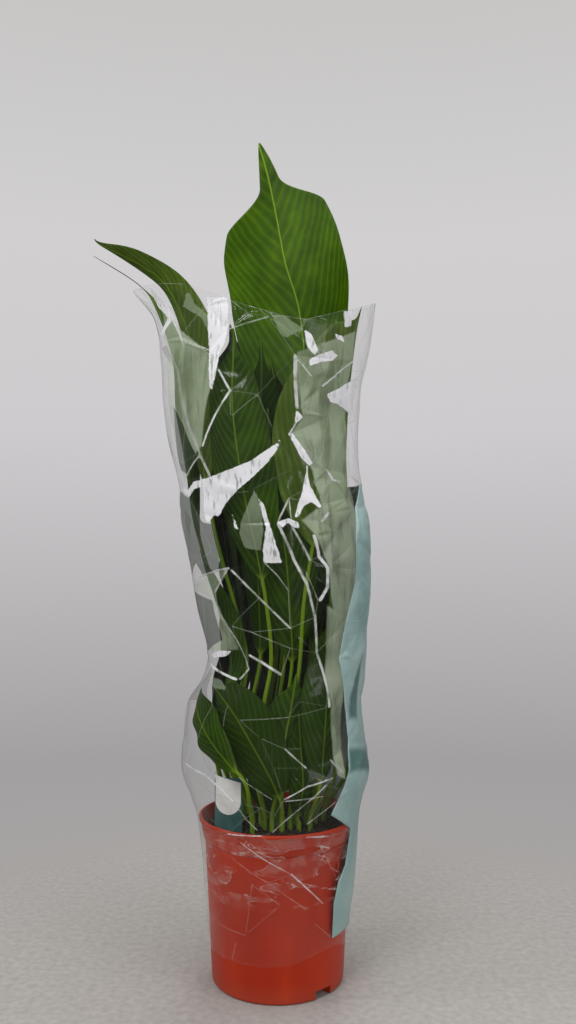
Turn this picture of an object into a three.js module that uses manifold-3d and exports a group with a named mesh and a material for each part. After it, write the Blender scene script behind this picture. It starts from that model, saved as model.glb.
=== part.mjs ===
// A tall potted peace lily in its grower pot and clear wrap, in millimetres.
// +Z is up, the front faces -Y, and the origin is the middle of the pot's underside.
import * as THREE from 'three';
import { mergeVertices } from 'three/addons/utils/BufferGeometryUtils.js';
import Module from 'manifold-3d';

const wasm = await Module();
wasm.setup();

// Driving dimensions.
const fitGap = 0.35;                 // between pieces that touch
const potHeight = 242;
const potRimRadius = 120;
const potBodyTopRadius = 110.5;
const potBaseRadius = 100;
const potWall = 2.6;
const rimBandHeight = 34;
const rimStep = { out: 2.4, up: 3 };                  // the small ledge under the rim band
const rimLip = { in: 2.2, drop: 7, edge: 5, top: 2, round: 1.2 };
const footRounding = 6;
const potFacets = 36;
const channelWidth = 30;             // drain channels pressed up into the pot's floor
const channelHeight = 13;
const channelStart = 40;             // distance of a channel's inner end from the axis
const channelCollar = 30;            // height of the wall's foot that a channel runs through
const channelAngles = [42, 222];
const drainHoleRadius = 6;
const soilTop = 226;
const soilMound = 5;
const soilCrumb = 5;                 // how rough the soil's surface is
const soilEdgeDrop = 4;              // how much lower the soil is at the pot's wall
const stemHoleDepth = 26;
const stemRadius = 3.8;
const stemRadiusAtBlade = 2.7;
const bladeThickness = 0.9;
const midribThickness = 2.4;
const wrapThickness = 0.8;
const panelThickness = 0.7;
const panelGap = 0.5;
const wrapColumns = 28;
const crumpleDepth = 3.2;            // how far the wrap's creases stand out
const creaseFloor = 0.4;
const creaseShareOnPot = 0.15;       // the wrap lies smoother where it hangs on the pot
const hemLift = { height: 12, columns: 1.6, centre: -0.4 };   // the hem rises at the seam
const mouthDip = 62;                 // the wrap's mouth is lower in front than behind
const seamAngle = 46;                // where the printed back panel starts, from the front
const clear = 20;                    // how far a cutting tool runs past what it cuts

const degree = Math.PI / 180;

// The wrap's cross-section at each height: its left, right, front and back edges.
const wrapStations = [
  { z: 58, left: -104.8, right: 104.8, front: -104.8, back: 104.8 },
  { z: 78, left: -105.8, right: 106, front: -105.8, back: 106 },
  { z: 150, left: -112, right: 116, front: -112, back: 114 },
  { z: 242, left: -121.7, right: 121.7, front: -121.7, back: 121.7 },
  { z: 262, left: -128, right: 125, front: -123, back: 124 },
  { z: 310, left: -143, right: 137, front: -129, back: 130 },
  { z: 360, left: -140, right: 128, front: -126, back: 129 },
  { z: 410, left: -135, right: 127, front: -122, back: 126 },
  { z: 447, left: -113, right: 130, front: -117, back: 122 },
  { z: 490, left: -107, right: 132, front: -114, back: 121 },
  { z: 555, left: -122, right: 138, front: -120, back: 124 },
  { z: 636, left: -137, right: 143, front: -128, back: 128 },
  { z: 690, left: -149, right: 139, front: -130, back: 130 },
  { z: 745, left: -152, right: 127, front: -130, back: 132 },
  { z: 850, left: -173, right: 123, front: -130, back: 134 },
  { z: 1000, left: -190, right: 148, front: -130, back: 136 },
  { z: 1050, left: -226, right: 153, front: -130, back: 136 },
];
const panelFirstStation = 1;
const panelLastStation = 13;
const panelColumns = 12;             // of the wrap's columns, from the seam round the back

// The room the leaves fill: bunched at the soil, held in by the wrap, and free above it.
const leafRoom = [
  { z: 240, left: -73, right: 73, front: -73, back: 73 },
  { z: 300, left: -112, right: 108, front: -104, back: 105 },
  { z: 360, left: -124, right: 117, front: -113, back: 115 },
  { z: 420, left: -112, right: 118, front: -109, back: 113 },
  { z: 480, left: -100, right: 122, front: -105, back: 112 },
  { z: 560, left: -114, right: 130, front: -112, back: 115 },
  { z: 640, left: -130, right: 134, front: -119, back: 120 },
  { z: 730, left: -144, right: 120, front: -121, back: 123 },
  { z: 850, left: -163, right: 114, front: -121, back: 125 },
  { z: 950, left: -174, right: 126, front: -121, back: 127 },
  { z: 1050, left: -214, right: 145, front: -121, back: 127 },
  { z: 1140, left: -282, right: 165, front: -118, back: 127 },
  { z: 1340, left: -300, right: 200, front: -110, back: 127 },
];
const wrapHold = { start: 430, end: 700 };       // heights over which leaves spread to the wrap
const wrapMouth = { start: 1036, end: 1146 };    // here a leaf may hang out over the wrap's edge
const whorlSlope = 0.05;                         // each leaf's far edge lies outside its neighbour

// Leaves that show plainly. phi is the way round from the front, towards the right, in
// degrees; base is the height of the blade's foot; foot and top are the distance out from
// the middle of the clump, as a share of the leaf room, low down and inside the wrap.
const plainLeaves = [
  { phi: 141, root: 144, base: 808, length: 545, half: 118, lean: 6, bend: 16,
    foot: 0.70, top: 0.88, fold: 6, tilt: -0.09, oval: 0.75, drip: 0.73, skew: 0.01 },
  { phi: 24, root: 20, base: 648, length: 402, half: 80, lean: 14, bend: 18,
    foot: 0.72, top: 0.95, fold: 4 },
  { phi: -54, root: -50, base: 735, length: 432, half: 47, lean: 0, bend: -66, curl: 4,
    foot: 0.64, top: 0.86, fold: 5, flop: 0.2 },
  { phi: -100, root: -88, base: 660, length: 450, half: 44, lean: 0, bend: 8,
    foot: 0.70, top: 0.96, fold: 4, flop: 0.26 },
  { phi: -14, root: -20, base: 600, length: 365, half: 52, lean: -3, bend: 8,
    foot: 0.72, top: 0.95, fold: 4 },
  { phi: 9, root: 6, base: 478, length: 372, half: 50, lean: -2, bend: 4,
    foot: 0.60, top: 0.78, fold: 4 },
  { phi: 3, root: 6, base: 286, length: 212, half: 46, lean: -20, bend: -52, curl: 1.5,
    foot: 0.88, top: 0.88, fold: 2, out: 0.1 },
  { phi: 37, root: 44, base: 306, length: 250, half: 40, lean: 2, bend: -8,
    foot: 0.95, top: 0.95, fold: 3 },
  { phi: -60, root: -78, base: 430, length: 215, half: 44, lean: -4, bend: -8,
    foot: 0.80, top: 0.96, fold: 3 },
  { phi: 0, root: -8, base: 288, length: 176, half: 40, lean: 10, bend: -12,
    foot: 0.80, top: 0.80, fold: 2 },
  { phi: -28, root: -30, base: 326, length: 196, half: 34, lean: -48, bend: -48,
    foot: 1.0, top: 1.0, fold: 2, out: 0.15 },
];

// Short leaves low in front, that hide the stems at the soil.
const lowLeaves = [
  { phi: -20, root: -27, base: 246, length: 156, half: 27, lean: 2, bend: 6,
    foot: 0.63, top: 0.63, fold: 1 },
  { phi: 27, root: 30, base: 250, length: 160, half: 23, lean: -4, bend: -6,
    foot: 0.86, top: 0.86, fold: 1 },
];

// The other leaves stand in whorls, each a little out of its place.
const whorls = [
  { angles: [91, 138, 186, 231], base: 330, length: 235, half: 44, foot: 0.96, top: 0.96, fold: 3 },
  { angles: [70, 166, 219], base: 430, length: 205, half: 34, foot: 0.85, top: 0.86, fold: 3 },
  { angles: [121, 194], base: 630, length: 375, half: 60, foot: 0.75, top: 0.96, fold: 4 },
  { angles: [56, 118, 186, 250], base: 560, length: 370, half: 52, foot: 0.65, top: 0.71, fold: 4 },
  { angles: [-34, 40, 112, 190, 262], base: 510, length: 350, half: 46, foot: 0.54, top: 0.56, fold: 4 },
  { angles: [0, 120, 240], base: 570, length: 360, half: 40, foot: 0.38, top: 0.38, fold: 4 },
];
const whorlSeed = 20;
const whorlSpread = { phi: 4, root: 5, base: 30, length: 20, lean: 6, bend: 10 };
const edgeWave = { depth: 2.6, depthSpread: 0.8, rate: 2.4, rateSpread: 0.6 };

// How a leaf's centre line and its sections are divided.
const stemSteps = 20;
const stemRings = [0, 1, 6, 11, 16];             // ring 0 is in the soil, ring 1 just above it
const bladeSteps = 44;
const bladeRings = [0, 0.05, 0.13, 0.25, 0.38, 0.52, 0.65, 0.75, 0.83, 0.92, 0.995];
const across = [-1, -0.5, 0, 0.5, 1];
const sectionCorner = 0.951;                     // where a stem section's side corners lie
const bladeBuild = { foldEnd: 0.25, foldPower: 1.4, flatEnd: 0.12, ribPower: 4, tipHalf: 1.2 };
const bladeOutline = { middle: 0.9, oval: 0.7, drip: 0.8, dripSpan: 0.13, narrowed: 0.7, skewStart: 0.4 };

function makeRandom(seed) {
  let state = seed;
  return () => {
    state = (state * 1664525 + 1013904223) % 4294967296;
    return state / 4294967296;
  };
}

function smooth(from, to, value) {
  const t = Math.min(1, Math.max(0, (value - from) / (to - from)));
  return t * t * (3 - 2 * t);
}

// One edge of the leaf room at a height, on a smooth curve through its stations.
function roomEdge(z, edge) {
  const last = leafRoom.length - 1;
  const height = Math.min(leafRoom[last].z, Math.max(leafRoom[0].z, z));
  let i = 0;
  while (i < last - 1 && leafRoom[i + 1].z < height) i += 1;
  const slopeAt = (k) => {
    const before = leafRoom[Math.max(0, k - 1)];
    const after = leafRoom[Math.min(last, k + 1)];
    return (after[edge] - before[edge]) / (after.z - before.z);
  };
  const span = leafRoom[i + 1].z - leafRoom[i].z;
  const t = (height - leafRoom[i].z) / span;
  const startSlope = i === 0 ? 0 : slopeAt(i);
  return leafRoom[i][edge] * (1 + 2 * t) * (1 - t) ** 2
    + leafRoom[i + 1][edge] * t * t * (3 - 2 * t)
    + span * startSlope * t * (1 - t) ** 2
    - span * slopeAt(i + 1) * t * t * (1 - t);
}

function roomAt(z) {
  const left = roomEdge(z, 'left');
  const right = roomEdge(z, 'right');
  const front = roomEdge(z, 'front');
  const back = roomEdge(z, 'back');
  return {
    x: (left + right) / 2,
    y: (front + back) / 2,
    a: (right - left) / 2,
    b: (back - front) / 2,
  };
}

// How far out from the middle a leaf runs at a height.
function reachOf(leaf, z) {
  return leaf.foot + (leaf.top - leaf.foot) * smooth(wrapHold.start, wrapHold.end, z);
}

// Millimetres round the clump for each radian, on a leaf's own shell.
function shellRadius(leaf, z, phi) {
  const room = roomAt(z);
  return reachOf(leaf, z) * Math.hypot(room.a * Math.cos(phi), room.b * Math.sin(phi));
}

// The leaf's centre line: the stem from below the soil, then the blade along its heading.
function centreLine(leaf) {
  const start = leafRoom[0].z;
  const lean = leaf.lean * degree;
  const rootPhi = leaf.root * degree;
  const basePhi = leaf.phi * degree;
  const span = leaf.base - start;
  const endSlope = Math.tan(lean) / shellRadius(leaf, leaf.base, basePhi);
  const stem = [{ phi: rootPhi, z: soilTop - stemHoleDepth, heading: 0 }];
  for (let i = 0; i <= stemSteps; i += 1) {
    const t = i / stemSteps;
    const phi = rootPhi * (1 + 2 * t) * (1 - t) ** 2 + basePhi * t * t * (3 - 2 * t)
      - span * endSlope * t * t * (1 - t);
    stem.push({ phi, z: start + span * t, heading: lean * t * t });
  }
  const blade = [];
  const step = leaf.length / bladeSteps;
  let phi = basePhi;
  let z = leaf.base;
  for (let i = 0; i <= bladeSteps; i += 1) {
    const heading = lean + leaf.bend * degree * (i / bladeSteps) ** (leaf.curl ?? 2);
    blade.push({ phi, z, heading });
    phi += step * Math.sin(heading) / shellRadius(leaf, z, phi);
    z += step * Math.cos(heading);
  }
  return { stem, blade };
}

function between(line, t) {
  const place = Math.min(0.99999, Math.max(0, t)) * (line.length - 1);
  const i = Math.floor(place);
  const part = place - i;
  const mix = (key) => line[i][key] + (line[i + 1][key] - line[i][key]) * part;
  return { phi: mix('phi'), z: mix('z'), heading: mix('heading') };
}

// Half the blade's width along its length: a long oval that ends in a narrow drip tip. On a
// skewed leaf one side, given by u from edge to edge, narrows sooner than the other.
function bladeHalfWidth(leaf, s, u = 0) {
  const form = bladeOutline;
  const skew = (leaf.skew ?? 0) * u * smooth(0, form.skewStart, s);
  const place = Math.min(1, Math.max(0, s + skew));
  const oval = Math.sin(Math.PI * place ** form.middle) ** (leaf.oval ?? form.oval);
  const drip = leaf.drip ?? form.drip;
  return leaf.half * oval * (1 - form.narrowed * smooth(drip, drip + form.dripSpan, place));
}

// A point of the blade's middle surface, at s along it and u from edge to edge.
function bladePoint(leaf, spot, s, offset, u) {
  const turn = offset * Math.cos(spot.heading) / shellRadius(leaf, spot.z, spot.phi);
  const phi = spot.phi + turn;
  const z = spot.z - offset * Math.sin(spot.heading);
  const grow = smooth(0, bladeBuild.foldEnd, s);
  const share = grow * bladeHalfWidth(leaf, s) / leaf.half;
  const ripple = Math.sin((leaf.waveRate * s + leaf.wavePhase) * 2 * Math.PI + u);
  const inward = share * (leaf.fold * Math.abs(u) ** bladeBuild.foldPower - leaf.wave * u * u * ripple);
  const room = roomAt(z);
  const slope = (whorlSlope + (leaf.tilt ?? 0)) * grow;
  const outside = smooth(wrapMouth.start, wrapMouth.end, z);
  const outward = (leaf.out ?? 0) * s * s + (leaf.flop ?? 0) * outside;
  const span = Math.hypot(room.a * Math.sin(phi), room.b * Math.cos(phi));
  const radial = reachOf(leaf, z) + outward + slope * turn - inward / span;
  return new THREE.Vector3(
    room.x + room.a * radial * Math.sin(phi),
    room.y - room.b * radial * Math.cos(phi),
    z,
  );
}

// One ring of a leaf: its upper face from edge to edge, then its lower face back again.
function leafRing(leaf, spot, ahead, s, halfAt, depthAt) {
  const upper = [];
  const lower = [];
  for (const u of across) {
    const offset = u * halfAt(Math.sign(u));
    const here = bladePoint(leaf, spot, s, offset, u);
    const right = bladePoint(leaf, spot, s, offset + 0.5, u);
    const left = bladePoint(leaf, spot, s, offset - 0.5, u);
    const along = bladePoint(leaf, ahead, s, offset, u).sub(here);
    const normal = along.cross(right.sub(left)).normalize();
    upper.push(here.clone().addScaledVector(normal, depthAt(u)));
    lower.push(here.clone().addScaledVector(normal, -depthAt(u)));
  }
  return [...upper, ...lower.reverse()];
}

// The rings of one leaf, from the stem's foot to the blade's tip.
function leafRings(leaf) {
  const line = centreLine(leaf);
  const rings = [];
  const roundDepth = (radius, u) => radius * Math.sqrt(1 - (u * sectionCorner) ** 2);
  for (const ring of stemRings) {
    const t = ring / (stemSteps + 1);
    const radius = stemRadius + (stemRadiusAtBlade - stemRadius) * smooth(0, 1, t);
    const ahead = between(line.stem, t + 0.02);
    const halfAt = () => sectionCorner * radius;
    const depthAt = (u) => roundDepth(radius, u);
    rings.push(leafRing(leaf, between(line.stem, t), ahead, 0, halfAt, depthAt));
  }
  for (const s of bladeRings) {
    const stemHalf = sectionCorner * stemRadiusAtBlade * (1 - smooth(0.5, 1, s));
    const halfAt = (side) => Math.max(bladeHalfWidth(leaf, s, side), stemHalf, bladeBuild.tipHalf);
    const flat = smooth(0, bladeBuild.flatEnd, s);
    const rib = (midribThickness - bladeThickness) * (1 - s) / 2;
    const ahead = between(line.blade, s + 0.004);
    const depthAt = (u) => roundDepth(stemRadiusAtBlade, u) * (1 - flat)
      + flat * (bladeThickness / 2 + rib * (1 - Math.abs(u)) ** bladeBuild.ribPower);
    rings.push(leafRing(leaf, between(line.blade, s), ahead, s, halfAt, depthAt));
  }
  return rings;
}

// A closed solid lofted through rings of equal counts, its faces split alike on both sides.
function loftGeometry(rings, flipColumns = () => false) {
  const count = rings[0].length;
  const positions = rings.flat().flatMap((p) => [p.x, p.y, p.z]);
  const index = [];
  for (let r = 0; r + 1 < rings.length; r += 1) {
    for (let c = 0; c < count; c += 1) {
      const next = (c + 1) % count;
      const a = r * count + c;
      const b = r * count + next;
      const d = a + count;
      const e = b + count;
      if (flipColumns(c)) index.push(a, e, b, a, d, e);
      else index.push(a, d, b, b, d, e);
    }
  }
  const end = (rings.length - 1) * count;
  for (let c = 0; c + 1 < count / 2; c += 1) {
    const d = count - 1 - c;
    index.push(c, c + 1, d - 1, c, d - 1, d);
    index.push(end + c, end + d - 1, end + c + 1, end + c, end + d, end + d - 1);
  }
  return indexedGeometry(positions, index);
}

function indexedGeometry(positions, index) {
  const geometry = new THREE.BufferGeometry();
  geometry.setAttribute('position', new THREE.Float32BufferAttribute(positions, 3));
  geometry.setIndex(index);
  return geometry;
}

function leafGeometry(leaf) {
  return loftGeometry(leafRings(leaf), (column) => column >= across.length);
}

function allLeaves() {
  const random = makeRandom(whorlSeed);
  const jitter = (size) => (random() - 0.5) * 2 * size;
  const leaves = plainLeaves.map((leaf) => ({ ...leaf }));
  for (const { angles, ...whorl } of whorls) {
    for (const angle of angles) {
      const phi = angle + jitter(whorlSpread.phi);
      leaves.push({
        ...whorl,
        phi,
        root: phi + jitter(whorlSpread.root),
        base: whorl.base + jitter(whorlSpread.base),
        length: whorl.length + jitter(whorlSpread.length),
        lean: jitter(whorlSpread.lean),
        bend: jitter(whorlSpread.bend),
      });
    }
  }
  leaves.push(...lowLeaves.map((leaf) => ({ ...leaf })));
  for (const leaf of leaves) {
    leaf.wave = edgeWave.depth + jitter(edgeWave.depthSpread);
    leaf.waveRate = edgeWave.rate + jitter(edgeWave.rateSpread);
    leaf.wavePhase = random();
  }
  return leaves;
}

// Between three.js geometry and solids that can be joined and cut.
function bare(geometry, tolerance) {
  geometry.deleteAttribute('normal');
  geometry.deleteAttribute('uv');
  return mergeVertices(geometry, tolerance);
}

function toSolid(geometry) {
  const merged = bare(geometry.clone(), 1e-4);
  return new wasm.Manifold(new wasm.Mesh({
    numProp: 3,
    vertProperties: new Float32Array(merged.attributes.position.array),
    triVerts: new Uint32Array(merged.index.array),
  }));
}

function toGeometry(solid) {
  const mesh = solid.getMesh();
  return indexedGeometry([...mesh.vertProperties], [...mesh.triVerts]);
}

// A lathed solid whose profile gives radius and height, turned upright.
function lathe(profile, facets) {
  const points = profile.map(([radius, height]) => new THREE.Vector2(radius, height));
  return new THREE.LatheGeometry(points, facets).rotateX(Math.PI / 2);
}

function arcPoints(radius, height, size, from, to, steps) {
  return Array.from({ length: steps + 1 }, (_, i) => {
    const angle = (from + (to - from) * (i / steps)) * degree;
    return [radius + size * Math.cos(angle), height + size * Math.sin(angle)];
  });
}

const bandStart = potHeight - rimBandHeight;
const innerFlareStart = bandStart + 4;

function bodyRadius(z) {
  return potBaseRadius + (potBodyTopRadius - potBaseRadius) * (z / bandStart);
}

// The pot's wall seen from the side, moved in by an inset.
function innerRadius(z, inset) {
  if (z <= innerFlareStart) return bodyRadius(z) - inset;
  const flare = (z - innerFlareStart) / (potHeight - innerFlareStart);
  const start = bodyRadius(innerFlareStart);
  return start + (potRimRadius - 1 - start) * flare - inset;
}

// A box along one drain channel, grown on every side by a margin.
function channelBox(angle, margin) {
  const length = potBaseRadius + clear - channelStart + margin;
  const height = channelHeight + margin + clear / 2;
  const box = new THREE.BoxGeometry(channelWidth + 2 * margin, length, height);
  box.translate(0, -(channelStart - margin + length / 2), channelHeight + margin - height / 2);
  return toSolid(box.rotateZ(angle * degree));
}

function potCavity(inset, top) {
  const corner = footRounding - 1;
  const levels = [bandStart - 2, bandStart + 6];
  const profile = [[0, inset]];
  profile.push(...arcPoints(innerRadius(8, inset) - corner, inset + corner, corner, -90, 0, 2));
  for (const z of levels.filter((level) => level < top)) profile.push([innerRadius(z, inset), z]);
  profile.push([innerRadius(top, inset), top], [0, top]);
  return toSolid(lathe(profile, potFacets));
}

function potGeometry() {
  const outer = [
    [0, 0],
    ...arcPoints(potBaseRadius - footRounding, footRounding, footRounding, -90, 0, 3),
    [bodyRadius(bandStart), bandStart],
    [bodyRadius(bandStart) + rimStep.out, bandStart + rimStep.up],
    [potRimRadius - rimLip.in, potHeight - rimLip.drop],
    [potRimRadius, potHeight - rimLip.edge],
    [potRimRadius, potHeight - rimLip.top],
    [potRimRadius - rimLip.round, potHeight],
    [0, potHeight],
  ];
  const collar = [[0, 0], [potBaseRadius - 2, 0], [potBaseRadius, channelCollar], [0, channelCollar]];
  const collarSolid = toSolid(lathe(collar, potFacets));
  let pot = toSolid(lathe(outer, potFacets)).subtract(potCavity(potWall, potHeight + 1));
  for (const angle of channelAngles) {
    pot = pot.add(channelBox(angle, potWall).intersect(collarSolid));
  }
  for (const angle of channelAngles) {
    const hole = new THREE.CylinderGeometry(drainHoleRadius, drainHoleRadius, channelCollar, 12);
    hole.rotateX(Math.PI / 2);
    hole.translate(0, -(channelStart + potBaseRadius) / 2, channelHeight);
    pot = pot.subtract(channelBox(angle, 0));
    pot = pot.subtract(toSolid(hole.rotateZ(angle * degree)));
  }
  return toGeometry(pot);
}

// Loose soil: a low mound with crumbs, cut by a plain hole for each stem and for the tag.
function soilGeometry(leaves) {
  const random = makeRandom(7);
  const inset = potWall + fitGap;
  const rim = soilTop - soilEdgeDrop;
  const moundFoot = rim - 6;
  const outerRadius = innerRadius(rim, inset);
  const profile = [[0, moundFoot], [innerRadius(moundFoot, inset), moundFoot], [outerRadius, rim]];
  for (const share of [0.86, 0.68, 0.48, 0.26]) {
    profile.push([outerRadius * share, soilTop + soilMound * (1 - share * share)]);
  }
  profile.push([0, soilTop + soilMound]);
  const mound = bare(lathe(profile, potFacets), 1e-3);
  const position = mound.attributes.position;
  for (let i = 0; i < position.count; i += 1) {
    const z = position.getZ(i);
    if (z > rim + 1) position.setZ(i, z + (random() - 0.5) * soilCrumb);
  }
  let soil = potCavity(inset, rim - 3);
  for (const angle of channelAngles) soil = soil.subtract(channelBox(angle, inset));
  soil = soil.add(toSolid(mound));
  for (const leaf of leaves) soil = soil.subtract(stemHole(leaf));
  return toGeometry(soil.subtract(toSolid(cardGeometry(fitGap))));
}

function stemHole(leaf) {
  const foot = leafRings(leaf)[0];
  const middle = foot.reduce((sum, p) => sum.add(p), new THREE.Vector3()).divideScalar(foot.length);
  const ring = (z) => foot.map((p) => {
    const out = p.clone().sub(middle).setLength(stemRadius + fitGap);
    return new THREE.Vector3(middle.x + out.x, middle.y + out.y, z);
  });
  return toSolid(loftGeometry([ring(middle.z - fitGap), ring(soilTop + clear)]));
}

// The wrap: a thin sleeve, open at both ends, faceted by creases.
function creaseHeights() {
  const random = makeRandom(61);
  return wrapStations.map((station) => Array.from({ length: wrapColumns }, () => {
    const free = smooth(potHeight, potHeight + 90, station.z);
    const share = creaseShareOnPot + (1 - creaseShareOnPot) * free;
    return creaseFloor + crumpleDepth * random() * share;
  }));
}

const creases = creaseHeights();

function wrapPoint(row, column, outward) {
  const station = wrapStations[row];
  const phi = (seamAngle + (360 / wrapColumns) * column) * degree;
  const out = outward + creases[row][column % wrapColumns];
  const a = (station.right - station.left) / 2 + out;
  const b = (station.back - station.front) / 2 + out;
  const fromLift = (column - hemLift.centre) / hemLift.columns;
  let rise = 0;
  if (row === 0) rise = hemLift.height * Math.exp(-(fromLift ** 2));
  if (row > panelLastStation) {
    const bottom = wrapStations[panelLastStation].z;
    const top = wrapStations[wrapStations.length - 1].z;
    rise = -mouthDip * smooth(bottom, top, station.z) * (1 + Math.cos(phi)) / 2;
  }
  return new THREE.Vector3(
    (station.right + station.left) / 2 + a * Math.sin(phi),
    (station.front + station.back) / 2 - b * Math.cos(phi),
    station.z + rise,
  );
}

// A closed thin sheet between two like grids, joined round its edges. A ring closes on itself.
function sheetGeometry(outer, inner, ring) {
  const columns = outer.length;
  const rows = outer[0].length;
  const positions = [...outer, ...inner].flat().flatMap((p) => [p.x, p.y, p.z]);
  const at = (side, column, row) => (side * columns + (column % columns)) * rows + row;
  const index = [];
  const quad = (a, b, c, d) => index.push(a, b, c, a, c, d);
  const last = columns - 1;
  for (let c = 0; c < (ring ? columns : last); c += 1) {
    for (let r = 0; r + 1 < rows; r += 1) {
      quad(at(0, c, r), at(0, c + 1, r), at(0, c + 1, r + 1), at(0, c, r + 1));
      quad(at(1, c + 1, r + 1), at(1, c + 1, r), at(1, c, r), at(1, c, r + 1));
    }
    quad(at(0, c + 1, 0), at(0, c, 0), at(1, c, 0), at(1, c + 1, 0));
    quad(at(0, c, rows - 1), at(0, c + 1, rows - 1), at(1, c + 1, rows - 1), at(1, c, rows - 1));
  }
  for (let r = 0; r + 1 < rows && !ring; r += 1) {
    quad(at(0, 0, r), at(0, 0, r + 1), at(1, 0, r + 1), at(1, 0, r));
    quad(at(0, last, r + 1), at(0, last, r), at(1, last, r), at(1, last, r + 1));
  }
  return indexedGeometry(positions, index);
}

function wrapGrid(columns, firstRow, lastRow, outward) {
  return Array.from({ length: columns }, (_, column) => {
    const rows = Array.from({ length: lastRow - firstRow + 1 }, (_unused, i) => firstRow + i);
    return rows.map((row) => wrapPoint(row, column, outward));
  });
}

function wrapGeometry() {
  const grid = (outward) => wrapGrid(wrapColumns, 0, wrapStations.length - 1, outward);
  return sheetGeometry(grid(wrapThickness), grid(0), true);
}

// The printed panel covers the wrap from the seam round the back.
function panelGeometry() {
  const inner = wrapThickness + panelGap;
  const rows = [panelFirstStation, panelLastStation];
  const grid = (outward) => wrapGrid(panelColumns + 1, ...rows, outward);
  return sheetGeometry(grid(inner + panelThickness), grid(inner), false);
}

// The plastic care tag that stands in the soil by the rim: a card with a tongue on its face.
const tag = {
  x: -72, y: -63, turn: -15, width: 42, thickness: 0.8, foot: 196, neck: 232, top: 309, point: 6,
};
const tongue = { width: 39, bottom: 256, top: 312, slant: 9, thickness: 0.6 };

function placeTag(geometry, offset) {
  geometry.rotateX(Math.PI / 2);
  geometry.translate(0, -offset, 0);
  geometry.rotateZ(tag.turn * degree);
  return geometry.translate(tag.x, tag.y, 0);
}

function cardGeometry(margin) {
  const half = tag.width / 2 + margin;
  const point = tag.point / 2 + margin;
  const shape = new THREE.Shape();
  shape.moveTo(-point, tag.foot - margin);
  shape.lineTo(point, tag.foot - margin);
  shape.lineTo(half, tag.neck - margin);
  shape.lineTo(half, tag.top + margin);
  shape.lineTo(-half, tag.top + margin);
  shape.lineTo(-half, tag.neck - margin);
  const depth = tag.thickness + 2 * margin;
  const geometry = new THREE.ExtrudeGeometry(shape, { depth, bevelEnabled: false });
  return placeTag(geometry, margin - depth);
}

function tongueGeometry() {
  const half = tongue.width / 2;
  const depth = tongue.thickness;
  const shape = new THREE.Shape();
  shape.moveTo(half, tongue.top - tongue.slant);
  shape.lineTo(-half, tongue.top);
  shape.lineTo(-half, tongue.bottom + half);
  shape.absarc(0, tongue.bottom + half, half, Math.PI, 2 * Math.PI, false);
  const geometry = new THREE.ExtrudeGeometry(shape, { depth, bevelEnabled: false, curveSegments: 8 });
  return placeTag(geometry, fitGap);
}

const finishes = {
  pot: { color: 0xa3401f, roughness: 0.45 },
  soil: { color: 0x2b1d15, roughness: 1 },
  leaf: { color: 0x335c12, roughness: 0.42 },
  wrap: { color: 0xdfe6e4, roughness: 0.12, transparent: true, opacity: 0.25 },
  panel: { color: 0x6f9f9c, roughness: 0.4 },
  card: { color: 0x2f5a58, roughness: 0.5 },
  tongue: { color: 0xe4e4df, roughness: 0.6 },
};

const group = new THREE.Group();

function addPiece(name, geometry, finish) {
  const material = new THREE.MeshStandardMaterial({ metalness: 0, ...finish });
  const mesh = new THREE.Mesh(geometry, material);
  mesh.name = name;
  group.add(mesh);
}

const leaves = allLeaves();
addPiece('pot', potGeometry(), finishes.pot);
addPiece('soil', soilGeometry(leaves), finishes.soil);
leaves.forEach((leaf, i) => {
  addPiece(`leaf_${String(i + 1).padStart(2, '0')}`, leafGeometry(leaf), finishes.leaf);
});
addPiece('sleeve_film', wrapGeometry(), finishes.wrap);
addPiece('sleeve_back_panel', panelGeometry(), finishes.panel);
addPiece('care_tag', cardGeometry(0), finishes.card);
addPiece('care_tag_tongue', tongueGeometry(), finishes.tongue);

export default group;
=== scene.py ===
import math
import random

import bmesh
import bpy
import numpy as np
from mathutils import Matrix, Vector
from mathutils.bvhtree import BVHTree
from mathutils.geometry import delaunay_2d_cdt


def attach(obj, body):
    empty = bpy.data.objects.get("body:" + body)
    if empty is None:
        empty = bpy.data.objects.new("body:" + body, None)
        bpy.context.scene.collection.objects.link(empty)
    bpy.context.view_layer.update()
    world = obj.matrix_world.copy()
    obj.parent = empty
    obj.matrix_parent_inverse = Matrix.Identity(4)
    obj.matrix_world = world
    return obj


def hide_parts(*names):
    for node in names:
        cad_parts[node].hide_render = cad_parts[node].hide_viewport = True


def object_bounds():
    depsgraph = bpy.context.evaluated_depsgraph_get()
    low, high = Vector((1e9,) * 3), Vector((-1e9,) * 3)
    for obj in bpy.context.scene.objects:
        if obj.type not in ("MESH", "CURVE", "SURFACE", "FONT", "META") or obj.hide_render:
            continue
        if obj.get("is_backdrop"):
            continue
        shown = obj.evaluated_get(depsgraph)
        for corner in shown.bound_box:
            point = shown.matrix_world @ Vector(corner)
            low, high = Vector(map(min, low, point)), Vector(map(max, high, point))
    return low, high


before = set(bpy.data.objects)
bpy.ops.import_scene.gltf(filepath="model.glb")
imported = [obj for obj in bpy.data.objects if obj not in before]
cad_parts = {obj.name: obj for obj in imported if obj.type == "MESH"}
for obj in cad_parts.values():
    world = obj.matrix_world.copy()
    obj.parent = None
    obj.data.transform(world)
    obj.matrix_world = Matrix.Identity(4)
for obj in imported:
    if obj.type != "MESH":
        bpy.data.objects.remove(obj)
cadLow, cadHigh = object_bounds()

# A potted peace lily in a terracotta grower pot and a clear crinkled sleeve.
# The shapes are worked out in millimetres, as in the part's source, and go to metres once.
mm = 0.001


def hexColor(text):
    # sRGB hex to the linear colour that the nodes take
    parts = [int(text[i:i + 2], 16) / 255 for i in (1, 3, 5)]
    return [c / 12.92 if c <= 0.04045 else ((c + 0.055) / 1.055) ** 2.4 for c in parts] + [1.0]


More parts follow.
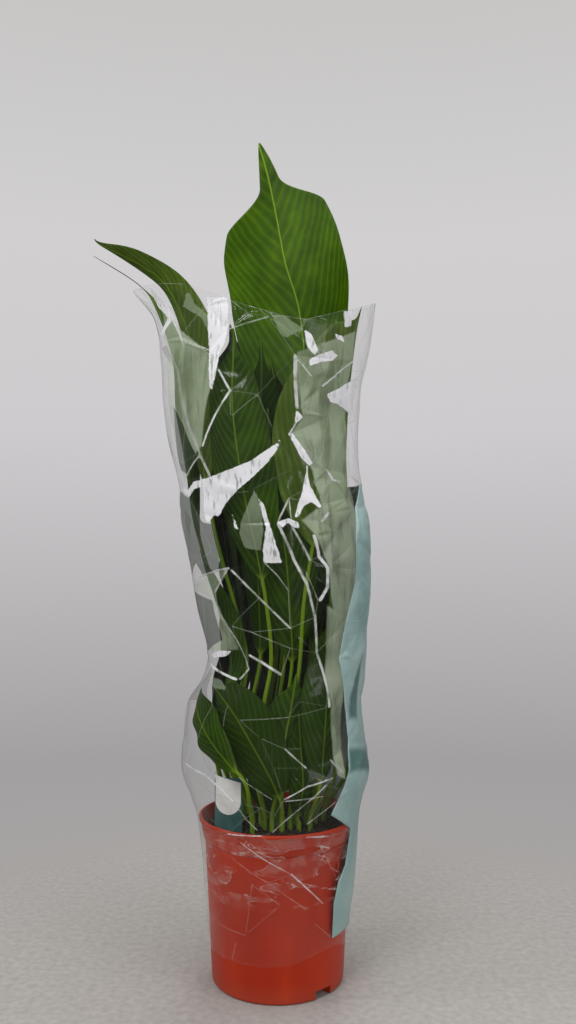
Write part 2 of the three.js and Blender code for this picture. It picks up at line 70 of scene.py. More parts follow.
def smooth(start, end, value):
    t = np.clip((np.asarray(value, float) - start) / (end - start), 0, 1)
    return t * t * (3 - 2 * t)


def addNode(tree, kind, settings=None, inputs=None, stops=None):
    # one node with its settings; inputs go by name or in order, each a value, a socket or a node,
    # of which the first live output is taken
    node = tree.nodes.new("ShaderNode" + kind)
    for name, value in (settings or {}).items():
        setattr(node, name, value)
    inputs = inputs or {}
    for name, value in inputs.items() if isinstance(inputs, dict) else enumerate(inputs):
        live = [s for s in node.inputs if s.enabled]
        socket = live[name] if isinstance(name, int) else next(s for s in live if s.name == name)
        if isinstance(value, bpy.types.Node):
            value = next(s for s in value.outputs if s.enabled)
        if isinstance(value, bpy.types.NodeSocket):
            tree.links.new(value, socket)
        else:
            socket.default_value = value
    if stops:
        ramp = node.color_ramp
        while len(ramp.elements) < len(stops):
            ramp.elements.new(0.5)
        for element, (place, color) in zip(ramp.elements, stops):
            element.position, element.color = place, hexColor(color)
    return node


# settings that many of the nodes share
plus, times, timesPlus = {"operation": "ADD"}, {"operation": "MULTIPLY"}, {"operation": "MULTIPLY_ADD"}
larger = {"operation": "MAXIMUM"}
softStep = {"interpolation_type": "SMOOTHSTEP"}
colorMix = {"data_type": "RGBA"}


def newMaterial(name):
    material = bpy.data.materials.new(name)
    material.use_nodes = True
    material.node_tree.nodes.clear()
    return material, material.node_tree


def dress(piece, nodes=()):
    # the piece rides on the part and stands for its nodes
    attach(piece, "root")
    if nodes:
        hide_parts(*nodes)


def linked(name, data):
    made = bpy.data.objects.new(name, data)
    bpy.context.scene.collection.objects.link(made)
    return made


def finished(name, work):
    # the object of a bmesh that is done with
    made = linked(name, bpy.data.meshes.new(name))
    work.to_mesh(made.data)
    work.free()
    return made


def makePiece(name, points, faces, materials, nodes=(), values=None, shade=True):
    # a mesh piece from points in millimetres, with values that its material reads at each point
    mesh = bpy.data.meshes.new(name)
    mesh.from_pydata((np.asarray(points) * mm).tolist(), [], faces)
    for key, numbers in (values or {}).items():
        layer = mesh.attributes.new(key, "FLOAT", "POINT")
        layer.data.foreach_set("value", np.asarray(numbers, np.float32).ravel())
    for material in materials:
        mesh.materials.append(material)
    mesh.polygons.foreach_set("use_smooth", [shade] * len(mesh.polygons))
    mesh.update()
    piece = linked(name, mesh)
    dress(piece, nodes)
    return piece


# the camera was fitted to the photograph; its focal length is in the photograph's pixels
view = {"focalPixels": 899.3, "frameHeight": 1024, "frameWidth": 576, "sensor": 36.0,
        "place": (0.0155, -1.396, 0.636), "pitch": 2.687}

camera = linked("camera", bpy.data.cameras.new("camera"))
camera.data.sensor_width = view["sensor"]
camera.data.lens = view["focalPixels"] / view["frameHeight"] * view["sensor"]
camera.data.clip_start, camera.data.clip_end = 0.05, 50
camera.location = view["place"]
camera.rotation_euler = (math.radians(90 + view["pitch"]), 0, 0)
bpy.context.scene.camera = camera

# the backdrop's greys from low to high, how bright it's seen and how bright it lights, and the floor
studio = {
    "sky": [(0.0, "#aba8a6"), (0.12, "#a3a1a2"), (0.44, "#cfcdcf"), (0.62, "#d3d1d2"), (1.0, "#bcbcb9")],
    "skyLow": -0.35, "skyHigh": 0.75, "seen": 0.98, "fill": 0.4,
    "floor": [(0.3, "#a29e9a"), (0.6, "#aeaaa6"), (0.75, "#b4b0ac")],
    "floorSpeck": 11.11, "floorClear": 0.3, "floorEnd": 1.1, "floorForward": 0.1,
}

world = bpy.data.worlds.new("studioGrey")
bpy.context.scene.world = world
world.use_nodes = True
sky = world.node_tree
sky.nodes.clear()
direction = addNode(sky, "TexCoord").outputs["Generated"]
rise = addNode(sky, "SeparateXYZ", inputs=(direction,)).outputs["Z"]
lift = addNode(sky, "MapRange", inputs=(rise, studio["skyLow"], studio["skyHigh"]))
greys = addNode(sky, "ValToRGB", inputs=(lift,), stops=studio["sky"])
backdrop, room = [addNode(sky, "Background", inputs=(greys, studio[use])) for use in ("seen", "fill")]
seen = addNode(sky, "LightPath").outputs["Is Camera Ray"]
addNode(sky, "OutputWorld", inputs=(addNode(sky, "MixShader", inputs=(seen, room, backdrop)),))

# name: place, target, width, height, watts, and whether glossy surfaces mirror it
lamps = {
    "keySoftbox": ((-0.75, -1.35, 2.0), (0, 0, 0.8), 0.8, 0.8, 16, True),
    "lowFill": ((0.2, -1.9, 0.5), (0, 0, 0.3), 1.2, 0.6, 3.5, False),
    "rightSoftbox": ((1.25, -1.05, 1.1), (0, 0, 0.75), 0.7, 1.1, 7, True),
    "leftStrip": ((-1.45, -0.35, 0.95), (0, 0, 0.6), 0.25, 1.2, 5, False),
    "topSoftbox": ((0.1, -0.1, 2.5), (0, 0, 0.8), 1.1, 1.1, 24, True),
    "backSoftbox": ((0.3, 1.6, 1.5), (0, 0, 0.7), 1.0, 0.8, 12, False),
}
for name, (place, target, width, tall, watts, mirrored) in lamps.items():
    lamp = linked(name, bpy.data.lights.new(name, "AREA"))
    light = lamp.data
    light.shape, light.size, light.size_y, light.energy = "RECTANGLE", width, tall, watts
    lamp.location = place
    lamp.visible_glossy = mirrored
    lamp.rotation_euler = (Vector(target) - Vector(place)).to_track_quat("-Z", "Y").to_euler()

bpy.context.scene.view_settings.view_transform = "Standard"
bpy.context.scene.cycles.transparent_max_bounces = 24


def floorMaterial():
    # matt board with faint specks; it fades out so that it leaves no edge against the backdrop
    material, tree = newMaterial("pale painted board")
    place = addNode(tree, "TexCoord").outputs["Object"]
    specks = addNode(tree, "TexNoise", inputs={
        "Vector": place, "Scale": 1 / (studio["floorSpeck"] * mm), "Detail": 3.0})
    tone = addNode(tree, "ValToRGB", inputs=(specks,), stops=studio["floor"])
    board = addNode(tree, "BsdfPrincipled", inputs={"Base Color": tone, "Roughness": 0.85})
    far = addNode(tree, "VectorMath", {"operation": "LENGTH"}, (place,)).outputs["Value"]
    fade = addNode(tree, "MapRange", softStep, (far, studio["floorClear"], studio["floorEnd"]))
    clear = addNode(tree, "BsdfTransparent")
    addNode(tree, "OutputMaterial", inputs=(addNode(tree, "MixShader", inputs=(fade, board, clear)),))
    return material


def buildFloor():
    disc = bmesh.new()
    bmesh.ops.create_circle(disc, cap_ends=True, segments=96, radius=studio["floorEnd"])
    floor = finished("floor", disc)
    floor.data.materials.append(floorMaterial())
    floor.location.y = -studio["floorForward"]
    floor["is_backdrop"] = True


buildFloor()
print("camera, light and floor: ready")


def sectionTable(stations, startSlope):
    # smooth oval sections through stations of (height, left, right, front, back)
    table = np.array(stations, float)
    z = table[:, 0]
    slopes = np.zeros((len(table), 4))
    slopes[1:-1] = (table[2:, 1:] - table[:-2, 1:]) / (z[2:] - z[:-2])[:, None]
    slopes[-1] = (table[-1, 1:] - table[-2, 1:]) / (z[-1] - z[-2])
    if startSlope:
        slopes[0] = (table[1, 1:] - table[0, 1:]) / (z[1] - z[0])
    return {"z": z, "edges": table[:, 1:], "slopes": slopes}


def sectionAt(table, height):
    # middle x, middle y, half width and half depth of the oval section at each height
    z = np.clip(height, table["z"][0], table["z"][-1])
    i = np.searchsorted(table["z"][1:-1], z)
    span = (table["z"][i + 1] - table["z"][i])[..., None]
    t = (z - table["z"][i])[..., None] / span
    edges = (table["edges"][i] * (1 + 2 * t) * (1 - t) ** 2
             + table["edges"][i + 1] * t * t * (3 - 2 * t)
             + span * table["slopes"][i] * t * (1 - t) ** 2
             - span * table["slopes"][i + 1] * t * t * (1 - t))
    left, right, front, back = np.moveaxis(edges, -1, 0)
    return (left + right) / 2, (front + back) / 2, (right - left) / 2, (back - front) / 2


# the room that the leaves fill inside the sleeve and above it
leafRoom = sectionTable([
    (240, -73, 73, -73, 73), (300, -112, 108, -104, 105), (360, -124, 117, -113, 115),
    (420, -112, 118, -109, 113), (480, -100, 122, -105, 112), (560, -114, 130, -112, 115),
    (640, -130, 134, -119, 120), (730, -144, 120, -121, 123), (850, -163, 114, -121, 125),
    (950, -174, 126, -121, 127), (1050, -214, 145, -121, 127), (1140, -282, 165, -118, 127),
    (1340, -300, 200, -110, 127),
], False)

# angles in degrees from the front towards the right, lengths in mm, and places in shares of the room
plainLeaves = [
    dict(phi=141, root=144, base=808, length=545, half=118, lean=6, bend=16, foot=0.70, top=0.88,
         fold=6, tilt=-0.09, oval=0.75, drip=0.73, skew=0.01),
    dict(phi=24, root=20, base=648, length=402, half=80, lean=14, bend=18, foot=0.72, top=0.95, fold=4),
    dict(phi=-54, root=-50, base=735, length=432, half=47, lean=0, bend=-66, curl=4, foot=0.64, top=0.86,
         fold=5, flop=0.2),
    dict(phi=-100, root=-88, base=660, length=450, half=44, lean=0, bend=8, foot=0.70, top=0.96,
         fold=4, flop=0.26),
    dict(phi=-14, root=-20, base=600, length=365, half=52, lean=-3, bend=8, foot=0.72, top=0.95, fold=4),
    dict(phi=9, root=6, base=478, length=372, half=50, lean=-2, bend=4, foot=0.60, top=0.78, fold=4),
    dict(phi=3, root=6, base=286, length=212, half=46, lean=-20, bend=-52, curl=1.5, foot=0.88, top=0.88,
         fold=2, out=0.1),
    dict(phi=37, root=44, base=306, length=250, half=40, lean=2, bend=-8, foot=0.95, top=0.95, fold=3),
    dict(phi=-60, root=-78, base=430, length=215, half=44, lean=-4, bend=-8, foot=0.80, top=0.96, fold=3),
    dict(phi=0, root=-8, base=288, length=176, half=40, lean=10, bend=-12, foot=0.80, top=0.80, fold=2),
    dict(phi=-28, root=-30, base=326, length=196, half=34, lean=-48, bend=-48, foot=1.0, top=1.0,
         fold=2, out=0.15),
]
# rings of like leaves, each a little out of its place
whorls = [
    ([91, 138, 186, 231], dict(base=330, length=235, half=44, foot=0.96, top=0.96, fold=3)),
    ([70, 166, 219], dict(base=430, length=205, half=34, foot=0.85, top=0.86, fold=3)),
    ([121, 194], dict(base=630, length=375, half=60, foot=0.75, top=0.96, fold=4)),
    ([56, 118, 186, 250], dict(base=560, length=370, half=52, foot=0.65, top=0.71, fold=4)),
    ([-34, 40, 112, 190, 262], dict(base=510, length=350, half=46, foot=0.54, top=0.56, fold=4)),
    ([0, 120, 240], dict(base=570, length=360, half=40, foot=0.38, top=0.38, fold=4)),
]
# short leaves low in front, which hide the stems at the soil
lowLeaves = [
    dict(phi=-20, root=-27, base=246, length=156, half=27, lean=2, bend=6, foot=0.63, top=0.63, fold=1),
    dict(phi=27, root=30, base=250, length=160, half=23, lean=-4, bend=-6, foot=0.86, top=0.86, fold=1),
]
leafBuild = {
    # how much a leaf of a whorl differs, either way: in degrees, in mm and in its own lean and bend
    "whorlTurn": 4, "rootTurn": 5, "baseSpread": 30, "lengthSpread": 20, "leanSpread": 6, "bendSpread": 10,
    # the edges' waves: depth in mm and waves a blade, each with its spread
    "wave": (2.6, 0.8), "waveRate": (2.4, 0.6),
    # a leaf moves from its foot's share of the room to its top's between the heights of hold, and one
    # that flops leans out between those of mouth
    "seed": 20, "soilStart": 200, "stemStart": 240, "stemRadius": 3.8, "stemRadiusAtBlade": 2.7,
    "hold": (430, 700), "mouth": (1036, 1146), "whorlSlope": 0.05, "foldEnd": 0.25, "foldPower": 1.4,
    "flatEnd": 0.12, "bladeThickness": 0.55, "ribThickness": 2.4, "ribPower": 9, "tipHalf": 0.7,
    "middle": 0.9, "oval": 0.7, "drip": 0.8, "dripSpan": 0.13, "narrowed": 0.7, "skewStart": 0.4,
    "ringStep": 4.0, "leastRings": 40, "tipRings": [0.98, 0.988, 0.995], "stemRings": 26, "columns": 21,
    "stemSteps": 20, "bladeSteps": 44, "lookAhead": 0.004, "edgePower": 24,
}


def cadRandom(seed):
    # the same draws as the part's source makes
    state = seed
    while True:
        state = (state * 1664525 + 1013904223) % 4294967296
        yield state / 4294967296


def allLeaves():
    build = leafBuild
    draws = cadRandom(build["seed"])
    jitter = lambda size: (next(draws) - 0.5) * 2 * size
    leaves = [dict(leaf) for leaf in plainLeaves]
    for angles, whorl in whorls:
        for angle in angles:
            phi = angle + jitter(build["whorlTurn"])
            leaves.append(dict(
                whorl, phi=phi, root=phi + jitter(build["rootTurn"]),
                base=whorl["base"] + jitter(build["baseSpread"]),
                length=whorl["length"] + jitter(build["lengthSpread"]),
                lean=jitter(build["leanSpread"]), bend=jitter(build["bendSpread"])))
    leaves += [dict(leaf) for leaf in lowLeaves]
    for leaf in leaves:
        for name in ("wave", "waveRate"):
            middle, spread = build[name]
            leaf[name] = middle + jitter(spread)
        leaf["wavePhase"] = next(draws)
    return leaves


def reachOf(leaf, z):
    # how far out the leaf stands, as a share of the room
    return leaf["foot"] + (leaf["top"] - leaf["foot"]) * smooth(*leafBuild["hold"], z)


def shellRadius(leaf, z, phi):
    _, _, a, b = sectionAt(leafRoom, z)
    return reachOf(leaf, z) * np.hypot(a * np.cos(phi), b * np.sin(phi))


def centreLine(leaf):
    # rows of (phi, z, heading): the stem from below the soil, then the blade
    lean = math.radians(leaf["lean"])
    root, base = math.radians(leaf["root"]), math.radians(leaf["phi"])
    start = leafBuild["stemStart"]
    span = leaf["base"] - start
    endSlope = math.tan(lean) / float(shellRadius(leaf, np.array(leaf["base"]), base))
    stem = [(root, leafBuild["soilStart"], 0.0)]
    for t in np.linspace(0, 1, leafBuild["stemSteps"] + 1):
        phi = (root * (1 + 2 * t) * (1 - t) ** 2 + base * t * t * (3 - 2 * t)
               - span * endSlope * t * t * (1 - t))
        stem.append((phi, start + span * t, lean * t * t))
    blade, phi, z, steps = [], base, float(leaf["base"]), leafBuild["bladeSteps"]
    for i in range(steps + 1):
        heading = lean + math.radians(leaf["bend"]) * (i / steps) ** leaf.get("curl", 2)
        blade.append((phi, z, heading))
        phi += leaf["length"] / steps * math.sin(heading) / float(shellRadius(leaf, np.array(z), phi))
        z += leaf["length"] / steps * math.cos(heading)
    return np.array(stem), np.array(blade)


def between(line, t):
    place = np.clip(t, 0, 0.99999) * (len(line) - 1)
    return np.stack([np.interp(place, np.arange(len(line)), line[:, k]) for k in range(3)])[:, :, None]


def bladeHalfWidth(leaf, s, side=0):
    # a skewed blade is fuller towards its tip on one side (-1 or 1) than on the other
    build = leafBuild
    place = np.clip(s + leaf.get("skew", 0) * side * smooth(0, build["skewStart"], s), 0, 1)
    oval = np.sin(np.pi * place ** build["middle"]) ** leaf.get("oval", build["oval"])
    drip = leaf.get("drip", build["drip"])
    return leaf["half"] * oval * (1 - build["narrowed"] * smooth(drip, drip + build["dripSpan"], place))


def bladePoint(leaf, spot, s, offset, u):
    # the blade's middle surface, folded along its midrib and waved at its edges
    phi, z, heading = spot
    turn = offset * np.cos(heading) / shellRadius(leaf, z, phi)
    phi = phi + turn
    z = z - offset * np.sin(heading)
    grow = smooth(0, leafBuild["foldEnd"], s)
    share = grow * bladeHalfWidth(leaf, s) / leaf["half"]
    ripple = np.sin((leaf["waveRate"] * s + leaf["wavePhase"]) * 2 * np.pi + u)
    inward = share * (leaf["fold"] * np.abs(u) ** leafBuild["foldPower"] - leaf["wave"] * u * u * ripple)
    x, y, a, b = sectionAt(leafRoom, z)
    slope = (leafBuild["whorlSlope"] + leaf.get("tilt", 0)) * grow
    outward = leaf.get("out", 0) * s * s + leaf.get("flop", 0) * smooth(*leafBuild["mouth"], z)
    span = np.hypot(a * np.sin(phi), b * np.cos(phi))
    radial = reachOf(leaf, z) + outward + slope * turn - inward / span
    return np.stack([x + a * radial * np.sin(phi), y - b * radial * np.cos(phi), z], axis=-1)


def leafSurfaces(leaf, line, s, t, half, depth, u):
    # upper and lower grids for rings along the stem (t) or the blade (s)
    spot = between(line, t)
    ahead = between(line, t + leafBuild["lookAhead"])
    s = s[:, None]
    here = bladePoint(leaf, spot, s, u * half, u)
    side = bladePoint(leaf, spot, s, u * half + 0.5, u) - bladePoint(leaf, spot, s, u * half - 0.5, u)
    normal = np.cross(bladePoint(leaf, ahead, s, u * half, u) - here, side)
    normal /= np.linalg.norm(normal, axis=-1, keepdims=True)
    return here + normal * depth[..., None], here - normal * depth[..., None]


def buildLeaf(leaf, name, material, tone):
    build = leafBuild
    stemLine, bladeLine = centreLine(leaf)
    columns = build["columns"]
    u = np.sin(np.pi / 2 * np.linspace(-1, 1, columns))[None, :]
    roundness = np.sqrt(np.clip(1 - u * u, 0, 1))
    tStem = np.linspace(0, 1, build["stemRings"], endpoint=False)
    slim = build["stemRadiusAtBlade"] - build["stemRadius"]
    stemHalf = (build["stemRadius"] + slim * smooth(0, 1, tStem))[:, None]
    stemUp, stemDown = leafSurfaces(leaf, stemLine, np.zeros_like(tStem), tStem, stemHalf,
                                    stemHalf * roundness, u)
    rings = max(build["leastRings"], int(leaf["length"] / build["ringStep"]))
    s = np.concatenate([np.linspace(0, 0.97, rings), build["tipRings"]])
    taper = build["stemRadiusAtBlade"] * (1 - smooth(0.5, 1, s))[:, None]
    wide = bladeHalfWidth(leaf, s[:, None], np.sign(u))
    half = np.maximum(np.maximum(wide, taper), build["tipHalf"])
    flat = smooth(0, build["flatEnd"], s)[:, None]
    rib = (build["ribThickness"] - build["bladeThickness"]) * (1 - s)[:, None] / 2
    edge = np.sqrt(np.clip(1 - np.abs(u) ** build["edgePower"], 0, 1))
    depth = (build["stemRadiusAtBlade"] * roundness * (1 - flat)
             + flat * edge * (build["bladeThickness"] / 2 + rib * (1 - np.abs(u)) ** build["ribPower"]))
    bladeUp, bladeDown = leafSurfaces(leaf, bladeLine, s, s, half, depth, u)
    up, down = np.concatenate([stemUp, bladeUp]), np.concatenate([stemDown, bladeDown])
    across = np.concatenate([stemHalf * u, half * u])
    # the stem's rings count down from the blade's foot, in millimetres
    stemHeights = np.interp(tStem * (len(stemLine) - 1), np.arange(len(stemLine)), stemLine[:, 1])
    along = np.concatenate([stemHeights - stemLine[-1, 1], s * leaf["length"]])[:, None] + 0 * u
    spacing = leafLook["veinSpacing"] + leafLook["veinSpacingByHalf"] * leaf["half"]
    curve = leafLook["veinCurveByHalf"] / leaf["half"]
    sweep = leafLook["veinSlant"] * np.abs(across) + curve * across ** 2
    vein = (along - sweep) / spacing
    edgeGap = np.concatenate([np.full((len(tStem), columns), 9.0), half * (1 - np.abs(u))])
    # one ring: the upper face from edge to edge, then the lower face's inner columns back
    back = slice(columns - 2, 0, -1)
    loop = lambda top, bottom: np.concatenate([top, bottom[:, back]], axis=1)
    points = loop(up, down)
    ringCount, count = points.shape[:2]
    values = {
        "leafAcross": loop(across, across), "leafAlong": loop(along, along),
        "leafEdge": loop(edgeGap, edgeGap), "leafVein": loop(vein, vein),
        "leafUpper": loop(np.ones_like(across), np.zeros_like(across)),
        "leafTone": np.full((ringCount, count), tone),
    }
    index = np.arange(ringCount * count).reshape(ringCount, count)
    beside = np.roll(index, -1, axis=1)
    quads = np.stack([index[:-1], index[1:], beside[1:], beside[:-1]], axis=-1).reshape(-1, 4)
    faces = quads.tolist() + [index[0].tolist(), index[-1][::-1].tolist()]
    makePiece(name, points.reshape(-1, 3), faces, [material], [name], values)


# living leaf with a waxy skin: deep green with a soft gloss above, paler and duller below, with
# curved side veins that pucker it and a lime midrib; lengths are in mm
leafLook = {
    "veinSpacing": 13, "veinSpacingByHalf": 0.145, "veinSlant": 1.4, "veinCurveByHalf": 0.8,
    "driftLength": 50, "drift": 0.5, "oneSideAhead": 0.23, "veinPale": 0.26,
    "besideRib": (2, 9), "margin": 6, "bladeStart": 30, "stalkEnd": (-2, 12), "ribWidth": 0.8,
    # the skin's own grain is too fine to show, so it's drawn at 2.4 mm
    "puckerDepth": 0.6, "puckerRound": 0.55, "grainDepth": 0.05, "grain": 2.381, "blotch": 45.45,
    "above": [(0.0, "#0f1a00"), (0.24, "#233c00"), (0.52, "#3a5a00"), (0.95, "#5f8408")],
    "below": [(0.0, "#233c00"), (0.3, "#3a5a00"), (0.5, "#485f1c"), (0.9, "#738c38")],
    "vein": "#5f8408", "rib": "#7d9c22", "stalk": "#789a1e",
    # where a point falls among those greens: a start, and a share of each pattern
    "greenStart": 0.07, "greenOfBay": -0.16, "greenOfBlotch": 0.7, "greenOfGrain": 0.16,
    # sunny, shaded and deepest move whole leaves along the greens as painted light and painted shade;
    # toneSpread is random
    "shaded": -0.4, "deepest": -0.56, "sunny": 0.08, "toneSpread": 0.1,
    "upperRoughness": 0.45, "lowerRoughness": 0.58, "specular": 0.12, "shineThrough": 0.14,
}


def leafMaterial():
    look = leafLook
    material, tree = newMaterial("waxy peace lily leaf")
    across, along, edge, upper, tone, vein = [
        addNode(tree, "Attribute", {"attribute_name": name}).outputs["Fac"]
        for name in ("leafAcross", "leafAlong", "leafEdge", "leafUpper", "leafTone", "leafVein")]
    away = addNode(tree, "Math", {"operation": "ABSOLUTE"}, (across,))
    drift = addNode(tree, "TexNoise", {"noise_dimensions": "1D"},
                    {"W": along, "Scale": 1 / look["driftLength"], "Detail": 1.0})
    side = addNode(tree, "Math", {"operation": "SIGN"}, (across,))
    phase = addNode(tree, "Math", timesPlus, (drift, look["drift"], vein))
    phase = addNode(tree, "Math", timesPlus, (side, look["oneSideAhead"], phase))
    # 0 on a side vein, 1 midway between two
    twice = addNode(tree, "Math", times, (phase, 2.0))
    bay = addNode(tree, "Math", {"operation": "PINGPONG"}, (twice, 1.0))
    hold = addNode(tree, "MapRange", softStep, (away, *look["besideRib"]))
    for distance, full in ((edge, look["margin"]), (along, look["bladeStart"])):
        fade = addNode(tree, "MapRange", softStep, (distance, 0.0, full))
        hold = addNode(tree, "Math", times, (hold, fade))

    place = addNode(tree, "TexCoord").outputs["Object"]
    blotch = addNode(tree, "TexNoise", inputs={
        "Vector": place, "Scale": 1 / (look["blotch"] * mm), "Detail": 3.0})
    grain = addNode(tree, "TexNoise", inputs={
        "Vector": place, "Scale": 1 / (look["grain"] * mm), "Detail": 2.0})
    green = addNode(tree, "Math", plus, (tone, look["greenStart"]))
    for pattern, share in ((bay, "greenOfBay"), (blotch, "greenOfBlotch"), (grain, "greenOfGrain")):
        green = addNode(tree, "Math", timesPlus, (pattern, look[share], green))
    top, under = [
        addNode(tree, "ValToRGB", inputs=(green,), stops=look[face]) for face in ("above", "below")]
    pale = addNode(tree, "MapRange", softStep, (bay, 0.0, 0.2, look["veinPale"], 0.0))
    pale = addNode(tree, "Math", times, (pale, hold))
    rib = addNode(tree, "MapRange", softStep, (away, look["ribWidth"], look["ribWidth"] * 2, 0.9, 0.0))
    # the midrib shows less on leaves painted darker as shade
    rib = addNode(tree, "Math", times, (rib, addNode(tree, "Math", timesPlus, (tone, 0.9, 0.85))))
    stalk = addNode(tree, "MapRange", softStep, (along, *look["stalkEnd"], 0.85, 0.0))
    color = addNode(tree, "Mix", colorMix, (upper, under, top))
    for cover, paint in ((pale, "vein"), (rib, "rib"), (stalk, "stalk")):
        color = addNode(tree, "Mix", colorMix, (cover, color, hexColor(look[paint])))

    pucker = addNode(tree, "Math", {"operation": "POWER"}, (bay, look["puckerRound"]))
    pucker = addNode(tree, "Math", times, (pucker, hold))
    relief = addNode(tree, "Math", times, (grain, look["grainDepth"]))
    relief = addNode(tree, "Math", timesPlus, (pucker, look["puckerDepth"], relief))
    bump = addNode(tree, "Bump", inputs={"Height": relief, "Distance": mm, "Strength": 1.0})
    rough = addNode(tree, "MapRange", inputs=(
        upper, 0.0, 1.0, look["lowerRoughness"], look["upperRoughness"]))
    skin = addNode(tree, "BsdfPrincipled", inputs={
        "Base Color": color, "Roughness": rough, "Normal": bump, "IOR": 1.45,
        "Specular IOR Level": look["specular"]})
    glow = addNode(tree, "BsdfTranslucent", inputs={"Color": color, "Normal": bump})
    mixed = addNode(tree, "MixShader", inputs=(look["shineThrough"], skin, glow))
    addNode(tree, "OutputMaterial", inputs=(mixed,))
    return material


leafSkin = leafMaterial()
tones = random.Random(5)
for number, leaf in enumerate(allLeaves(), 1):
    # the tall leaves get a lighter tone as painted light, those inside the clump darker tones as painted
    # shade
    paintedLighting = "sunny" if number <= 4 else "shaded" if number <= 11 else "deepest"
    tone = leafLook[paintedLighting] + tones.uniform(-leafLook["toneSpread"], leafLook["toneSpread"])
    buildLeaf(leaf, f"leaf_{number:02d}", leafSkin, tone)
print("leaves:", number, "built")

pot = {
    "height": 242, "rimRadius": 120, "bodyTopRadius": 110.5, "baseRadius": 100, "wall": 2.6,
    "band": 34, "bandStep": 2.4, "bandRise": 3, "rimDepth": 5, "footRound": 5, "innerRound": 5,
    "segments": 144, "sharpAngle": 32, "channelWidth": 30, "channelHeight": 13, "channelStart": 40,
    "channelAngles": (42, 222), "holeRadius": 6, "holeDepth": 30,
    # the mould's grain is too fine to show, so it's drawn at 1.1 mm
    "flowMark": 26.32, "flowStretch": 0.12, "cloud": 111.1, "grain": 1.111, "grainDepth": 0.04,
    "oranges": [(0.3, "#a32504"), (0.5, "#b32b06"), (0.7, "#c0350c")],
    "dust": "#b98a70", "dustHeight": 35,
}
bandStart = pot["height"] - pot["band"]


def bodyRadius(z):
    return pot["baseRadius"] + (pot["bodyTopRadius"] - pot["baseRadius"]) * z / bandStart


def innerRadius(z, inset):
    # the hollow's wall; it flares from just over the band's start to just inside the rim
    flareStart = bandStart + 4
    if z <= flareStart:
        return bodyRadius(z) - inset
    start = bodyRadius(flareStart)
    flare = (z - flareStart) / (pot["height"] - flareStart)
    return start + (pot["rimRadius"] - 1 - start) * flare - inset


def potRadius(z):
    # the widest the pot reaches at a height, for what hangs on it
    bandRadius = bodyRadius(bandStart)
    return np.interp(z, [0, bandStart, bandStart + pot["bandRise"],
                         pot["height"] - pot["rimDepth"], pot["height"]],
                     [pot["baseRadius"], bandRadius, bandRadius + pot["bandStep"], pot["rimRadius"],
                      pot["rimRadius"]])


def arc(x, z, radius, start, end, steps):
    return [(x + radius * math.cos(a), z + radius * math.sin(a))
            for a in np.radians(np.linspace(start, end, steps + 1))]


def filleted(corners, steps=4):
    # a profile whose corners (radius, height, fillet) are rounded
    line = []
    for i, (r, z, fillet) in enumerate(corners):
        if not fillet:
            line.append((r, z))
            continue
        here = np.array([r, z])
        before = np.array(corners[i - 1][:2]) - here
        after = np.array(corners[i + 1][:2]) - here
        reach = min(fillet, np.linalg.norm(before) * 0.45, np.linalg.norm(after) * 0.45)
        a = here + before / np.linalg.norm(before) * reach
        b = here + after / np.linalg.norm(after) * reach
        for t in np.linspace(0, 1, steps + 1):
            line.append(tuple(a * (1 - t) ** 2 + here * 2 * t * (1 - t) + b * t * t))
    return line


def turnedSolid(name, profile, segments):
    # a closed turned solid; the profile starts and ends on the axis
    points, rows = [], []
    for r, z in profile:
        count = segments if r > 0 else 1
        rows.append([len(points) + k % count for k in range(segments)])
        for angle in 2 * math.pi * np.arange(count) / segments:
            points.append((r * mm * math.sin(angle), -r * mm * math.cos(angle), z * mm))
    work = bmesh.new()
    verts = [work.verts.new(point) for point in points]
    for low, high in zip(rows, rows[1:]):
        for k in range(segments):
            n = (k + 1) % segments
            corners = dict.fromkeys((low[k], high[k], high[n], low[n]))
            work.faces.new([verts[i] for i in corners])
    bmesh.ops.recalc_face_normals(work, faces=work.faces)
    return finished(name, work)


def channelTool(name, margin, holes):
    # the two drain channels' boxes, or the holes above them, as one cutting tool
    work = bmesh.new()
    # a box reaches 20 mm past the wall and 10 mm below the floor, so it cuts clean through
    length = pot["baseRadius"] + 20 - pot["channelStart"] + margin
    tall = pot["channelHeight"] + margin + 10
    for angle in pot["channelAngles"]:
        if holes:
            made = bmesh.ops.create_cone(work, cap_ends=True, segments=32, radius1=pot["holeRadius"],
                                         radius2=pot["holeRadius"], depth=pot["holeDepth"])
            shift = (0, -(pot["channelStart"] + pot["baseRadius"]) / 2, pot["channelHeight"])
        else:
            made = bmesh.ops.create_cube(work, size=1)
            bmesh.ops.scale(work, vec=(pot["channelWidth"] + 2 * margin, length, tall),
                            verts=made["verts"])
            shift = (0, -(pot["channelStart"] - margin + length / 2),
                     pot["channelHeight"] + margin - tall / 2)
        bmesh.ops.translate(work, vec=shift, verts=made["verts"])
        bmesh.ops.rotate(work, matrix=Matrix.Rotation(math.radians(angle), 3, "Z"), verts=made["verts"])
    bmesh.ops.scale(work, vec=(mm, mm, mm), verts=work.verts)
    return finished(name, work)


def carve(target, tool):
    cut = target.modifiers.new("cut", "BOOLEAN")
    cut.operation, cut.solver, cut.object = "DIFFERENCE", "EXACT", tool
    baked = bpy.data.meshes.new_from_object(target.evaluated_get(bpy.context.evaluated_depsgraph_get()))
    target.modifiers.clear()
    target.data = baked
    bpy.data.objects.remove(tool)


